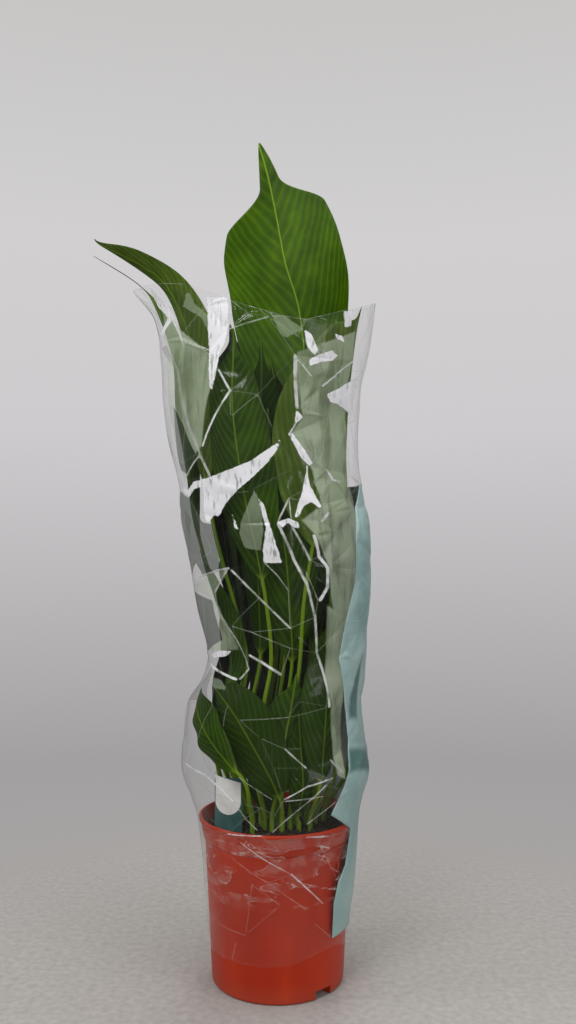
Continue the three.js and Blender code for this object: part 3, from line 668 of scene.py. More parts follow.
def potMaterial():
    # moulded polypropylene: an even terracotta orange, satin, with faint flow marks and handling dust
    material, tree = newMaterial("moulded terracotta polypropylene")
    place = addNode(tree, "TexCoord").outputs["Object"]
    stretched = addNode(tree, "Mapping", inputs={"Vector": place, "Scale": (1, 1, pot["flowStretch"])})
    flow, cloud, grain = [
        addNode(tree, "TexNoise", inputs={"Vector": spot, "Scale": 1 / (pot[size] * mm), "Detail": detail})
        for spot, size, detail in (
            (stretched, "flowMark", 3.0), (place, "cloud", 2.0), (place, "grain", 1.0))]
    level = addNode(tree, "Math", times, (flow, 0.4))
    level = addNode(tree, "Math", timesPlus, (cloud, 0.6, level))
    color = addNode(tree, "ValToRGB", inputs=(level,), stops=pot["oranges"])
    height = addNode(tree, "SeparateXYZ", inputs=(place,)).outputs["Z"]
    dust = addNode(tree, "MapRange", softStep, (height, 0.0, pot["dustHeight"] * mm, 0.1, 0.0))
    color = addNode(tree, "Mix", colorMix, (dust, color, hexColor(pot["dust"])))
    rough = addNode(tree, "MapRange", inputs=(flow, 0.3, 0.7, 0.38, 0.5))
    bump = addNode(tree, "Bump", inputs={"Height": grain, "Distance": pot["grainDepth"] * mm})
    skin = addNode(tree, "BsdfPrincipled", inputs={
        "Base Color": color, "Roughness": rough, "Normal": bump, "Specular IOR Level": 0.3})
    addNode(tree, "OutputMaterial", inputs=(skin,))
    return material


def buildPot():
    wall, height, rim, band = pot["wall"], pot["height"], pot["rimRadius"], bodyRadius(bandStart)
    outer = filleted([
        (0, 0, 0), (pot["baseRadius"] - 1, 0, pot["footRound"]), (band, bandStart, 0.8),
        (band + pot["bandStep"], bandStart + pot["bandRise"], 1.2), (rim - 2.2, height - 7, 1),
        (rim, height - pot["rimDepth"], 1), (rim, height - 1, 1), (rim - 1.8, height, 1),
        (0, height, 0)], 6)
    corner = pot["innerRound"]
    floorRadius = innerRadius(8, wall) - corner
    inner = [(0, wall)] + arc(floorRadius, wall + corner, corner, -90, 0, 6)
    inner += [(innerRadius(z, wall), z) for z in (bandStart - 2, bandStart + 6, height + 1)]
    inner += [(0, height + 1)]
    # the channels' covers stand up into the hollow, so they come off it before it's cut out
    cavity = turnedSolid("cavity", inner, pot["segments"])
    carve(cavity, channelTool("covers", wall, False))
    shell = turnedSolid("pot_shell", outer, pot["segments"])
    for tool in (cavity, channelTool("channels", 0, False), channelTool("holes", 0, True)):
        carve(shell, tool)
    faces = shell.data.polygons
    shell.data.materials.clear()
    shell.data.materials.append(potMaterial())
    faces.foreach_set("material_index", [0] * len(faces))
    faces.foreach_set("use_smooth", [True] * len(faces))
    shell.data.set_sharp_from_angle(angle=math.radians(pot["sharpAngle"]))
    dress(shell, ["pot"])


buildPot()
print("pot: turned and cut")

soilLook = {
    "seed": 11, "crumbs": 1500, "small": 1.3, "large": 4.6, "radius": 108, "dropFrom": 260, "lowest": 215,
    # how uneven a crumb is, its least and its further share of its size each way, and how it stands out
    "uneven": 0.28, "least": 0.6, "further": 0.8, "proud": 0.25,
    "clod": 3.846, "clodDepth": 1.5, "browns": [(0.35, "#150e0a"), (0.52, "#2a1b13"), (0.72, "#4a3323")],
}


def soilMaterial():
    # moist peat compost: near black, matt and crumbly
    material, tree = newMaterial("moist peat compost")
    place = addNode(tree, "TexCoord").outputs["Object"]
    clods = addNode(tree, "TexNoise", inputs={
        "Vector": place, "Scale": 1 / (soilLook["clod"] * mm), "Detail": 6.0})
    color = addNode(tree, "ValToRGB", inputs=(clods,), stops=soilLook["browns"])
    bump = addNode(tree, "Bump", inputs={"Height": clods, "Distance": soilLook["clodDepth"] * mm})
    matt = addNode(tree, "BsdfPrincipled", inputs={"Base Color": color, "Roughness": 0.92, "Normal": bump})
    addNode(tree, "OutputMaterial", inputs=(matt,))
    return material


def buildSoil():
    # crumbs of a seeded draw lie where a line down from above meets the soil's own solid
    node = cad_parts["soil"]
    material = soilMaterial()
    node.data.materials.clear()
    node.data.materials.append(material)
    ground = BVHTree.FromPolygons([v.co for v in node.data.vertices],
                                  [tuple(p.vertices) for p in node.data.polygons])
    seed = bmesh.new()
    bmesh.ops.create_icosphere(seed, subdivisions=2, radius=1)
    ball = np.array([v.co for v in seed.verts])
    ballFaces = np.array([[v.index for v in f.verts] for f in seed.faces])
    seed.free()
    look = soilLook
    draw = np.random.default_rng(look["seed"])
    points, faces = [], []
    for _ in range(look["crumbs"]):
        r, angle = look["radius"] * math.sqrt(draw.random()), draw.random() * 2 * math.pi
        x, y = r * math.sin(angle), -r * math.cos(angle)
        hit = ground.ray_cast(Vector((x, y, look["dropFrom"])) * mm, Vector((0, 0, -1)))[0]
        if hit is None or hit.z / mm < look["lowest"]:
            continue
        size = look["small"] + (look["large"] - look["small"]) * draw.random() ** 3
        shape = ball * (1 + look["uneven"] * draw.standard_normal((len(ball), 1)))
        shape = shape * size * (look["least"] + look["further"] * draw.random(3))
        turn, _ = np.linalg.qr(draw.standard_normal((3, 3)))
        faces.append(ballFaces + len(points) * len(ball))
        points.append(shape @ turn + [x, y, hit.z / mm + size * look["proud"]])
    makePiece("soil_crumbs", np.concatenate(points), np.concatenate(faces).tolist(), [material],
              shade=False)


buildSoil()
print("soil: crumbs laid")


# the sleeve's shape: (height, left, right, front, back)
wrap = sectionTable([
    (58, -104.8, 104.8, -104.8, 104.8), (78, -105.8, 106, -105.8, 106), (150, -112, 116, -112, 114),
    (242, -121.7, 121.7, -121.7, 121.7), (262, -128, 125, -123, 124), (310, -143, 137, -129, 130),
    (360, -140, 128, -126, 129), (410, -135, 127, -122, 126), (447, -113, 130, -117, 122),
    (490, -107, 132, -114, 121), (555, -122, 138, -120, 124), (636, -137, 143, -128, 128),
    (690, -149, 139, -130, 130), (745, -152, 127, -130, 132), (850, -173, 123, -130, 134),
    (1000, -190, 148, -130, 136), (1050, -226, 153, -130, 136),
], True)

film = {
    # the sheet unrolls as from a cylinder of this radius, and its loose grid of folds has this step
    "seed": 4, "unrolled": 125, "step": 52, "jitter": 0.42, "fold": 6.5, "foldOnPot": 1.6, "bulge": 1.5,
    # chance facets, turned far enough from the front, get a painted pale highlight
    "cells": 14, "chanceGlint": 0.07, "chanceFrom": 70, "potGap": 0.9, "potEnd": 246,
    "heldTo": 240, "freeFrom": 330, "bulgeOnPot": 0.12, "foldInward": 0.25, "weldFold": 0.8,
    # where the grid of folds starts and ends, and how clear of other creases its points stay
    "gridLow": 96, "gridHigh": 1030, "gridStart": 26, "gridEnd": 18, "rowStep": 0.9,
    "hemClear": 14, "mouthClear": 16, "weldClear": 14, "creaseClear": 17,
    # how sharp creases are: the share that chance leaves flat, the sharpest of chance, the sheet's
    # outline and the drawn lines, whose whiteness comes from their table
    "flatShare": 0.62, "chanceSharp": 0.55, "outlineSharp": 0.15, "drawnSharp": 0.1, "leastSharp": 0.05,
    # the fine line of painted highlight that the cut edge of the mouth shows as, and how far the facets
    # with painted pale highlights stay off creases
    "mouthLine": 0.7, "mouthWhite": 0.4, "paleInset": 1.5,
    # the weld, in degrees from the front; it's at the back, a little past the panel's end
    "seam": -146,
    # the cut edge of the mouth, in millimetres by degrees from the front, and the lower edge, which
    # rises a little at the front right
    "mouth": [(-180, 1048), (-120, 1049), (-82, 1045), (-55, 1038), (-34, 1028), (-17, 1000), (-8, 991),
              (9, 976), (21, 971), (45, 994), (78, 1023), (90, 1030), (130, 1042), (180, 1048)],
    "hem": {"low": 56.5, "rise": 15, "at": 44, "spread": 26},
    "weldHeights": [80, 130, 180, 215, 242, 262, *range(300, 701, 50), 745, *range(800, 951, 50)],
    "panelEnd": 346, "panelTop": 745, "panelBottom": (84, 70), "panelSlopeFrom": 0.65,
    "panelGap": 0.5, "panelThickness": 0.25,
}

# what the photograph shows on the film, in its pixels: creases as (half width in mm, whiteness, line),
# whose white is partly crease whitening and partly painted highlight
creaseLines = [
    (1.2, 0.7, [(175, 321), (181, 336)]),
    (0.7, 0.6, [(183, 338), (209, 350)]),
    (0.7, 0.55, [(186, 342), (209, 354)]),
    (1.5, 0.85, [(219, 370), (231, 391), (203, 446)]),
    (1.2, 0.75, [(201, 456), (185, 483)]),
    (2.6, 0.42, [(168, 342), (180, 372), (189, 420)]),
    (2.2, 0.6, [(189, 420), (201, 453), (210, 476)]),
    (2.3, 0.72, [(295, 356), (296, 408)]),
    (1.2, 0.85, [(299, 417), (289, 435)]),
    (1.2, 0.85, [(307, 466), (307, 488), (320, 505)]),
    (1.2, 0.7, [(289, 498), (278, 521)]),
    (0.9, 0.7, [(289, 498), (291, 518)]),
    (2.0, 0.72, [(278, 524), (294, 560), (306, 584), (315, 617), (317, 653), (324, 675), (328, 706)]),
    (1.6, 0.6, [(293, 528), (310, 560)]),
    (2.3, 0.85, [(313, 536), (319, 557), (327, 568), (327, 587), (320, 600)]),
    (1.2, 0.8, [(351, 361), (337, 374)]),
    (1.6, 0.7, [(336, 375), (322, 386)]),
    (1.2, 0.6, [(296, 358), (310, 376)]),
    (0.6, 0.5, [(228, 298), (246, 312)]),
    (1.2, 0.45, [(229, 329), (268, 317)]),
    (0.9, 0.5, [(252, 297), (264, 310)]),
    (1.1, 0.5, [(268, 299), (272, 314)]),
    (1.6, 0.9, [(347, 447), (350, 476)]),
    (1.8, 0.8, [(325, 470), (331, 480), (338, 482)]),
    (1.8, 0.8, [(321, 521), (327, 513)]),
    (1.6, 0.75, [(194, 584), (230, 568)]),
    (1.5, 0.7, [(232, 570), (260, 598), (290, 628)]),
    (1.5, 0.62, [(228, 570), (217, 592), (219, 610), (238, 642), (246, 660), (249, 669), (240, 679)]),
    (0.8, 0.4, [(234, 626), (252, 632), (290, 648)]),
    (1.9, 0.85, [(251, 655), (264, 663), (281, 674)]),
    (1.8, 0.9, [(212, 664), (224, 673), (238, 679)]),
    (0.9, 0.45, [(264, 562), (278, 576), (288, 590)]),
    (0.8, 0.45, [(306, 572), (318, 600)]),
    (1.9, 0.9, [(187, 763), (207, 774), (220, 787), (233, 801)]),
    (0.9, 0.55, [(233, 801), (246, 818), (257, 830)]),
    (1.3, 0.65, [(285, 749), (306, 768)]),
    (1.6, 0.45, [(330, 760), (340, 772)]),
    (1.1, 0.8, [(332, 778), (307, 786), (284, 799)]),
    (0.7, 0.4, [(239, 778), (272, 799)]),
    (0.9, 0.35, [(189, 706), (187, 735), (186, 760)]),
    (0.6, 0.35, [(240, 720), (288, 717)]),
    (1.0, 0.6, [(273, 832), (325, 785)]),
    (0.9, 0.6, [(283, 801), (322, 796)]),
    (0.9, 0.6, [(307, 824), (334, 802)]),
    (1.1, 0.75, [(228, 834), (261, 836)]),
    (1.1, 0.75, [(306, 837), (328, 836)]),
    (0.9, 0.6, [(240, 842), (262, 858), (289, 873)]),
    (1.2, 0.7, [(291, 874), (322, 903)]),
    (0.7, 0.3, [(254, 847), (279, 850), (266, 853), (254, 847)]),
    (0.6, 0.35, [(232, 858), (268, 883), (300, 905)]),
    (0.6, 0.3, [(252, 884), (280, 905)]),
    (1.2, 0.6, [(321, 846), (329, 848)]),
    (0.7, 0.35, [(318, 843), (331, 868), (338, 872)]),
    (0.5, 0.3, [(198, 860), (226, 905)]),
    (0.5, 0.3, [(205, 905), (246, 935)]),
]
# painted reflections, set where folds would mirror the lamps: bright glare, paler glare and broad milky
# veils
paintedGlarePatches = [
    [(206, 297), (228, 297), (228, 328), (225, 342), (220, 354), (217, 370), (213, 391), (210, 386),
     (209, 354), (207, 326)],
    [(151, 286), (162, 299), (172, 310), (176, 318), (170, 328), (166, 338), (163, 335), (166, 326),
     (170, 318), (160, 308), (154, 296)],
    [(189, 490), (194, 482), (210, 477), (234, 468), (252, 460), (268, 449), (281, 439), (278, 449),
     (268, 462), (252, 478), (236, 492), (224, 506), (219, 517), (214, 515), (209, 524), (205, 518),
     (203, 504), (203, 487), (195, 489), (190, 497), (182, 489), (185, 487)],
    [(258, 497), (264, 504), (270, 524), (278, 550), (282, 563), (264, 563), (263, 550), (266, 528),
     (261, 508)],
    [(288, 433), (293, 433), (312, 463), (309, 467), (300, 456)],
    [(295, 409), (302, 418), (294, 425)],
    [(307, 468), (310, 486), (321, 507), (318, 508), (311, 502), (304, 506), (298, 517), (294, 518),
     (298, 504), (302, 492)],
    [(277, 522), (288, 518), (298, 522), (299, 528), (294, 528), (288, 523), (282, 528)],
    [(303, 330), (310, 334), (317, 350), (314, 356), (306, 348)],
    [(308, 360), (318, 355), (331, 350), (337, 356), (332, 361), (322, 362), (316, 364), (309, 366)],
    [(326, 394), (342, 386), (355, 376), (354, 384), (349, 416), (336, 404), (330, 402)],
    [(343, 311), (352, 311), (351, 326), (344, 328)],
    [(334, 334), (342, 337), (343, 343), (335, 339)],
    [(213, 654), (222, 650), (232, 651), (228, 656), (215, 658)],
    [(232, 512), (236, 522), (240, 533), (234, 527)],
]
paintedPalePatches = [
    [(184, 307), (186, 294), (190, 292), (194, 303), (207, 314), (207, 330), (200, 317)],
    [(271, 315), (280, 312), (292, 322), (303, 330), (294, 334), (286, 338), (280, 334)],
    [(194, 585), (229, 570), (220, 588), (216, 599)],
    [(209, 675), (222, 679), (229, 691), (214, 687)],
    [(255, 489), (241, 522), (239, 534), (245, 548), (261, 551), (264, 530), (261, 506)],
]
# broad milky veils, painted reflections of the lamps
paintedVeilPatches = [
    [(296, 352), (356, 330), (356, 620), (338, 650), (330, 600), (327, 566), (314, 536), (300, 520),
     (320, 505), (311, 470), (290, 434), (301, 418)],
    [(158, 300), (182, 330), (209, 352), (217, 370), (203, 446), (186, 482), (170, 400)],
    [(326, 604), (335, 610), (342, 700), (344, 780), (336, 776), (329, 706), (324, 676)],
    [(196, 590), (218, 600), (240, 650), (214, 652), (200, 630)],
]
# painted dark reflections, set where folds would mirror the dark side of the room
paintedDarkPatches = [
    [(181, 490), (190, 498), (203, 522), (200, 560), (194, 578), (190, 560), (184, 530)],
    [(194, 588), (214, 600), (224, 640), (211, 651), (203, 643), (196, 620)],
    [(203, 522), (214, 524), (223, 571), (205, 577), (197, 560)],
    [(176, 405), (186, 425), (198, 455), (190, 476), (183, 470), (178, 440)],
]
# where the printed panel starts, and its folds, which get painted shade
panelStart = [(357, 483), (354, 508), (355, 540), (355, 570), (354, 585), (345, 620), (337, 658),
              (340, 678), (344, 713), (346, 740), (346, 768), (341, 790), (337, 802), (330, 815),
              (350, 829), (344, 865), (337, 882), (333, 903), (331, 937)]
shadePatches = [
    [(361, 650), (358, 690), (355, 719), (346, 719), (350, 690)],
    [(346, 748), (356, 747), (366, 748), (367, 771), (356, 770), (346, 773)],
    [(327, 814), (350, 828), (346, 831), (336, 828)],
]


# the film's colours, where milk is its milky folds' and potMilk theirs against the pot, with a dark green
# for painted dark reflections and a near white for painted glare and crease white; how strongly each kind
# of fold covers what is behind it, and heights in mm
filmLook = {
    "milk": "#b6c4a8", "potMilk": "#d6bdb4", "paintedDark": "#3d4b38", "bright": "#f2f1f6",
    "clear": "#fcfcfc", "mirror": "#ffffff",
    "paintedDarkCover": 0.7, "glare": 0.97, "pale": 0.34, "paintedVeil": 0.5, "haze": (0.002, 0.02), "net": 0.5,
    "wrinkleHighlight": 0.55, "wrinkleFrom": 125, "wrinkleTo": 245, "fray": 3.0, "lineFray": 0.6,
    "shine": 0.018, "edgeShine": 0.5, "gloss": 0.14, "rumpleDepth": 0.6,
    # patterns: size, turn about y, stretch, detail and distortion
    "rumple": (18.18, 0, (1, 1, 1), 3, 0),
    "ragged": (5.882, 0, (1, 1, 1), 3, 0),
    "stroke": (4.762, 0.6, (1, 1, 0.22), 3, 0),
    "cloud": (83.33, 0, (1, 1, 1), 2, 0),
    "potRidge": (38.46, -0.35, (0.6, 0.6, 2.4), 2, 0.6),
    "smallFold": (16.667, 0.35, (1, 1, 0.16), 3, 0.8),
}


farOff = 20.0  # mm, a distance at which no line or patch shows any more


def byTable(table, at):
    pairs = np.array(table, float)
    return np.interp(at, pairs[:, 0], pairs[:, 1])


def turnToFront(degrees):
    return (np.asarray(degrees) + 180) % 360 - 180


def hemHeight(degrees):
    hem = film["hem"]
    return hem["low"] + hem["rise"] * np.exp(-((turnToFront(degrees) - hem["at"]) / hem["spread"]) ** 2)


def wrapSurface(unrolled, z, out):
    # from the unrolled sheet (millimetres round from the seam, height) to the row frame
    phi = math.radians(film["seam"]) + unrolled / film["unrolled"]
    x, y, a, b = sectionAt(wrap, z)
    x = x + (a + out) * np.sin(phi)
    y = y - (b + out) * np.cos(phi)
    radius = np.hypot(x, y)
    push = np.where(z < film["potEnd"], np.maximum(1, (potRadius(z) + film["potGap"] + out) / radius), 1)
    return np.stack([x * push, y * push, z], axis=-1)


def pixelOnWrap(px, py):
    # where the line of sight of a photograph pixel meets the sleeve's front, unrolled
    right = (px - view["frameWidth"] / 2) / view["focalPixels"]
    up = (view["frameHeight"] / 2 - py) / view["focalPixels"]
    pitch = math.radians(view["pitch"])
    along = np.array([right, math.cos(pitch) - up * math.sin(pitch),
                      math.sin(pitch) + up * math.cos(pitch)])
    eye = np.array(view["place"]) / mm
    # a first guess for the depth, which settles in a few rounds
    y = -120.0
    for _ in range(12):
        spot = eye + along * (y - eye[1]) / along[1]
        cx, cy, a, b = (float(v) for v in sectionAt(wrap, np.array(spot[2])))
        side = max(-0.995, min(0.995, (spot[0] - cx) / a))
        y = cy - b * math.sqrt(1 - side * side)
    turn = math.degrees(math.asin(side)) - film["seam"]
    return math.radians(turn % 360) * film["unrolled"], float(spot[2])


def panelLow(unrolled, panelEdge):
    # the panel's lower end, which slopes down towards the back
    slope = [film["panelSlopeFrom"] * panelEdge, panelEdge]
    return np.interp(unrolled, slope, film["panelBottom"])


def lineGaps(spots, line):
    # how far each unrolled spot lies from a line of points
    gap = np.full(spots.shape[:-1], 1e3)
    for a, b in zip(np.array(line[:-1]), np.array(line[1:])):
        t = np.clip(((spots - a) @ (b - a)) / max((b - a) @ (b - a), 1e-6), 0, 1)
        gap = np.minimum(gap, np.linalg.norm(spots - a - t[..., None] * (b - a), axis=-1))
    return gap


def insideGaps(spots, outline):
    # how deep each unrolled spot lies inside an outline; negative outside it
    gap = lineGaps(spots, outline + [outline[0]])
    odd = np.zeros(spots.shape[:-1], bool)
    for (ax, ay), (bx, by) in zip(outline, outline[1:] + [outline[0]]):
        if ay != by:
            crosses = (spots[..., 1] < ay) != (spots[..., 1] < by)
            odd ^= crosses & (spots[..., 0] < ax + (spots[..., 1] - ay) / (by - ay) * (bx - ax))
    return np.where(odd, gap, -gap)


def patchDepth(spots, patches):
    depth = np.full(spots.shape[:-1], -farOff)
    for patch in patches:
        outline = [pixelOnWrap(*pixel) for pixel in patch]
        depth = np.maximum(depth, insideGaps(spots, outline))
    return depth


def sheetNet():
    # the unrolled sheet's creases: a net of triangles through a loose grid and the plain creases
    draw = random.Random(film["seed"])
    width = 2 * math.pi * film["unrolled"]
    phiAt = lambda u: film["seam"] + math.degrees(u / film["unrolled"])
    low = lambda u: float(hemHeight(phiAt(u)))
    high = lambda u: float(byTable(film["mouth"], turnToFront(phiAt(u))))
    points, edges, strong = [], [], []

    def addLine(line, strength=film["drawnSharp"]):
        for i, spot in enumerate(line):
            points.append(Vector(spot))
            if i:
                edges.append((len(points) - 2, len(points) - 1))
                strong.append(strength)

    steps = [width * k / 60 for k in range(61)]
    outline = [(u, low(u)) for u in steps] + [(width, z) for z in film["weldHeights"]]
    outline += [(u, high(u)) for u in reversed(steps)] + [(0.0, z) for z in reversed(film["weldHeights"])]
    addLine(outline + [outline[0]], film["outlineSharp"])
    panelEdge = math.radians(film["panelEnd"]) * film["unrolled"]
    start = [pixelOnWrap(*pixel) for pixel in panelStart]
    start[-1] = (start[-1][0], float(panelLow(start[-1][0], panelEdge)))
    addLine(start)
    below, above = np.linspace(start[-1][0], panelEdge, 11), np.linspace(start[0][0], panelEdge, 11)
    addLine([(u, float(panelLow(u, panelEdge))) for u in below])
    addLine([(u, film["panelTop"]) for u in above])
    addLine([(panelEdge, z) for z in np.linspace(panelLow(panelEdge, panelEdge), film["panelTop"], 13)])
    for _, _, line in creaseLines:
        addLine([pixelOnWrap(*pixel) for pixel in line])
    taken = [Vector(p) for p in points]
    step, aside = film["step"], film["step"] * film["jitter"]
    row, z = 0, film["gridLow"]
    while z < film["gridHigh"]:
        u = film["gridStart"] + (row % 2) * step / 2
        while u < width - film["gridEnd"]:
            spot = Vector((u + draw.uniform(-1, 1) * aside, z + draw.uniform(-1, 1) * aside))
            top = high(min(max(spot.x, 0), width)) - film["mouthClear"]
            inside = film["weldClear"] < spot.x < width - film["weldClear"]
            inside = inside and low(spot.x) + film["hemClear"] < spot.y < top
            if inside and all((spot - p).length > film["creaseClear"] for p in taken):
                taken.append(spot)
                points.append(spot)
            u += step
        z += step * film["rowStep"]
        row += 1
    out = delaunay_2d_cdt(points, edges, [], 1, 0.4)
    spots = np.array([tuple(v) for v in out[0]])
    return spots, out[1], np.array(out[2]), out[4], strong, width, panelEdge, start


def creaseStrength(edges, origins, strong):
    # how sharp each edge of the net is, by its two ends
    draw = random.Random(film["seed"] + 1)
    strength = {}
    for (a, b), origin in zip(edges, origins):
        weak = draw.random()
        value = film["chanceSharp"] * max(0.0, weak - film["flatShare"]) / (1 - film["flatShare"])
        for number in origin:
            value = max(value, strong[number])
        strength[(min(a, b), max(a, b))] = value
    return strength


def smallTriangles(cells):
    # the corners' shares of a triangle cut into rows of small ones, and those ones' corners
    corners = [(i, j, cells - i - j) for i in range(cells + 1) for j in range(cells + 1 - i)]
    place = {(i, j): k for k, (i, j, _) in enumerate(corners)}
    small = []
    for i in range(cells):
        for j in range(cells - i):
            small.append((place[i, j], place[i + 1, j], place[i, j + 1]))
            if i + j < cells - 1:
                small.append((place[i + 1, j], place[i + 1, j + 1], place[i, j + 1]))
    return np.array(corners) / cells, np.array(small)


def buildSheet():
    spots, edges, triangles, origins, strong, width, panelEdge, start = sheetNet()
    strength = creaseStrength(edges, origins, strong)
    draw = np.random.default_rng(film["seed"])
    weldDraw = np.random.default_rng(film["seed"] + 2)
    free = smooth(film["heldTo"], film["freeFrom"], spots[:, 1])
    depth = film["foldOnPot"] + (film["fold"] - film["foldOnPot"]) * free
    fold = depth * (draw.random(len(spots)) - film["foldInward"] * free)
    weldLine = (spots[:, 0] < 1) | (spots[:, 0] > width - 1)
    # both sides of the weld take the same folds
    weldHeights = np.arange(50, 1070, 20)
    weld = np.interp(spots[:, 1], weldHeights, weldDraw.random(len(weldHeights)))
    fold[weldLine] = (depth * weld * film["weldFold"])[weldLine]
    bulge = (draw.random(len(triangles)) - 0.35) * 2 * film["bulge"]
    shares, small = smallTriangles(film["cells"])

    flat = np.einsum("ck,tkd->tcd", shares, spots[triangles])
    lift = np.einsum("ck,tk->tc", shares, fold[triangles])
    # each triangle bulges, by 27 times its corner shares' product, which is 1 in its middle
    free = smooth(film["heldTo"], film["freeFrom"], flat[..., 1])
    loose = film["bulgeOnPot"] + (1 - film["bulgeOnPot"]) * free
    lift += loose * bulge[:, None] * 27 * shares.prod(axis=1)[None, :]
    # how far each point lies from its nearest crease, and how sharp that crease is
    ends = spots[triangles]
    sides = np.linalg.norm(np.roll(ends, -1, axis=1) - np.roll(ends, -2, axis=1), axis=2)
    twice = np.abs(np.cross(ends[:, 1] - ends[:, 0], ends[:, 2] - ends[:, 0]))
    gap = shares[None] * (twice[:, None] / sides)[:, None, :]
    sharp = np.array([[strength.get((min(t[k - 2], t[k - 1]), max(t[k - 2], t[k - 1])), 0)
                       for k in range(3)] for t in triangles.tolist()])[:, None, :]
    weighted = gap + 30 * (sharp < film["leastSharp"])  # creases less sharp than that hardly count
    nearest = weighted.argmin(axis=2)[..., None]
    creaseGap = np.take_along_axis(weighted, nearest, 2)[..., 0]
    creaseSharp = np.take_along_axis(np.broadcast_to(sharp, gap.shape), nearest, 2)[..., 0]

    # drawn creases: how far each point lies outside the nearest one, and how white that one is, partly as
    # crease whitening and partly as painted highlight; the cut edge of the mouth shows as a fine line of
    # painted highlight too
    turns = lambda u: turnToFront(film["seam"] + np.degrees(u / film["unrolled"]))
    lines = [(lineGaps(flat, [pixelOnWrap(*pixel) for pixel in line]) - half, white)
             for half, white, line in creaseLines]
    mouthGap = byTable(film["mouth"], turns(flat[..., 0])) - flat[..., 1]
    lines += [(mouthGap - film["mouthLine"], film["mouthWhite"])]
    lineGap, lineWhite = np.full(flat.shape[:2], farOff), np.zeros(flat.shape[:2])
    for outside, white in lines:
        lineWhite = np.where(outside < lineGap, white, lineWhite)
        lineGap = np.minimum(lineGap, outside)
    # away from the photographed side, some facets by chance get a painted pale highlight, as if they
    # mirrored a lamp
    turned = np.abs(turns(ends[:, :, 0].mean(axis=1)))
    lit = (turned > film["chanceFrom"]) & (draw.random(len(triangles)) < film["chanceGlint"])
    chance = np.where(lit[:, None], gap.min(axis=2) - film["paleInset"], -farOff)
    values = {
        # glare, pale, the veils and the dark patches say where reflections are painted on the film
        "creaseGap": creaseGap, "creaseSharp": creaseSharp, "lineGap": lineGap, "lineWhite": lineWhite,
        "glare": patchDepth(flat, paintedGlarePatches), "paintedDark": patchDepth(flat, paintedDarkPatches),
        "pale": np.maximum(patchDepth(flat, paintedPalePatches), chance),
        "paintedVeil": patchDepth(flat, paintedVeilPatches), "foldShade": patchDepth(flat, shadePatches)}
    return {"flat": flat, "lift": lift, "small": small, "values": values, "width": width,
            "middle": ends.mean(axis=1), "panelEdge": panelEdge, "start": start}


def merged(sheet, chosen, around):
    # the chosen triangles' faces on points that they share, and for those points their places in the
    # sheet; going around, the sheet closes on itself at its weld
    flat = sheet["flat"][chosen]
    key = np.round(flat.reshape(-1, 2), 2)
    if around:
        key = np.round(np.stack([flat[..., 0].ravel() % sheet["width"], flat[..., 1].ravel()], axis=1), 2)
        key[key[:, 0] > sheet["width"] - 0.02, 0] = 0
    _, first, inverse = np.unique(key, axis=0, return_index=True, return_inverse=True)
    steps = (np.arange(len(flat)) * flat.shape[1])[:, None, None]
    faces = inverse.ravel()[sheet["small"][None] + steps].reshape(-1, 3)
    whole = (faces != np.roll(faces, 1, axis=1)).all(axis=1)
    pick = lambda numbers: numbers[chosen].reshape(-1, *numbers.shape[2:])[first]
    return faces[whole], pick


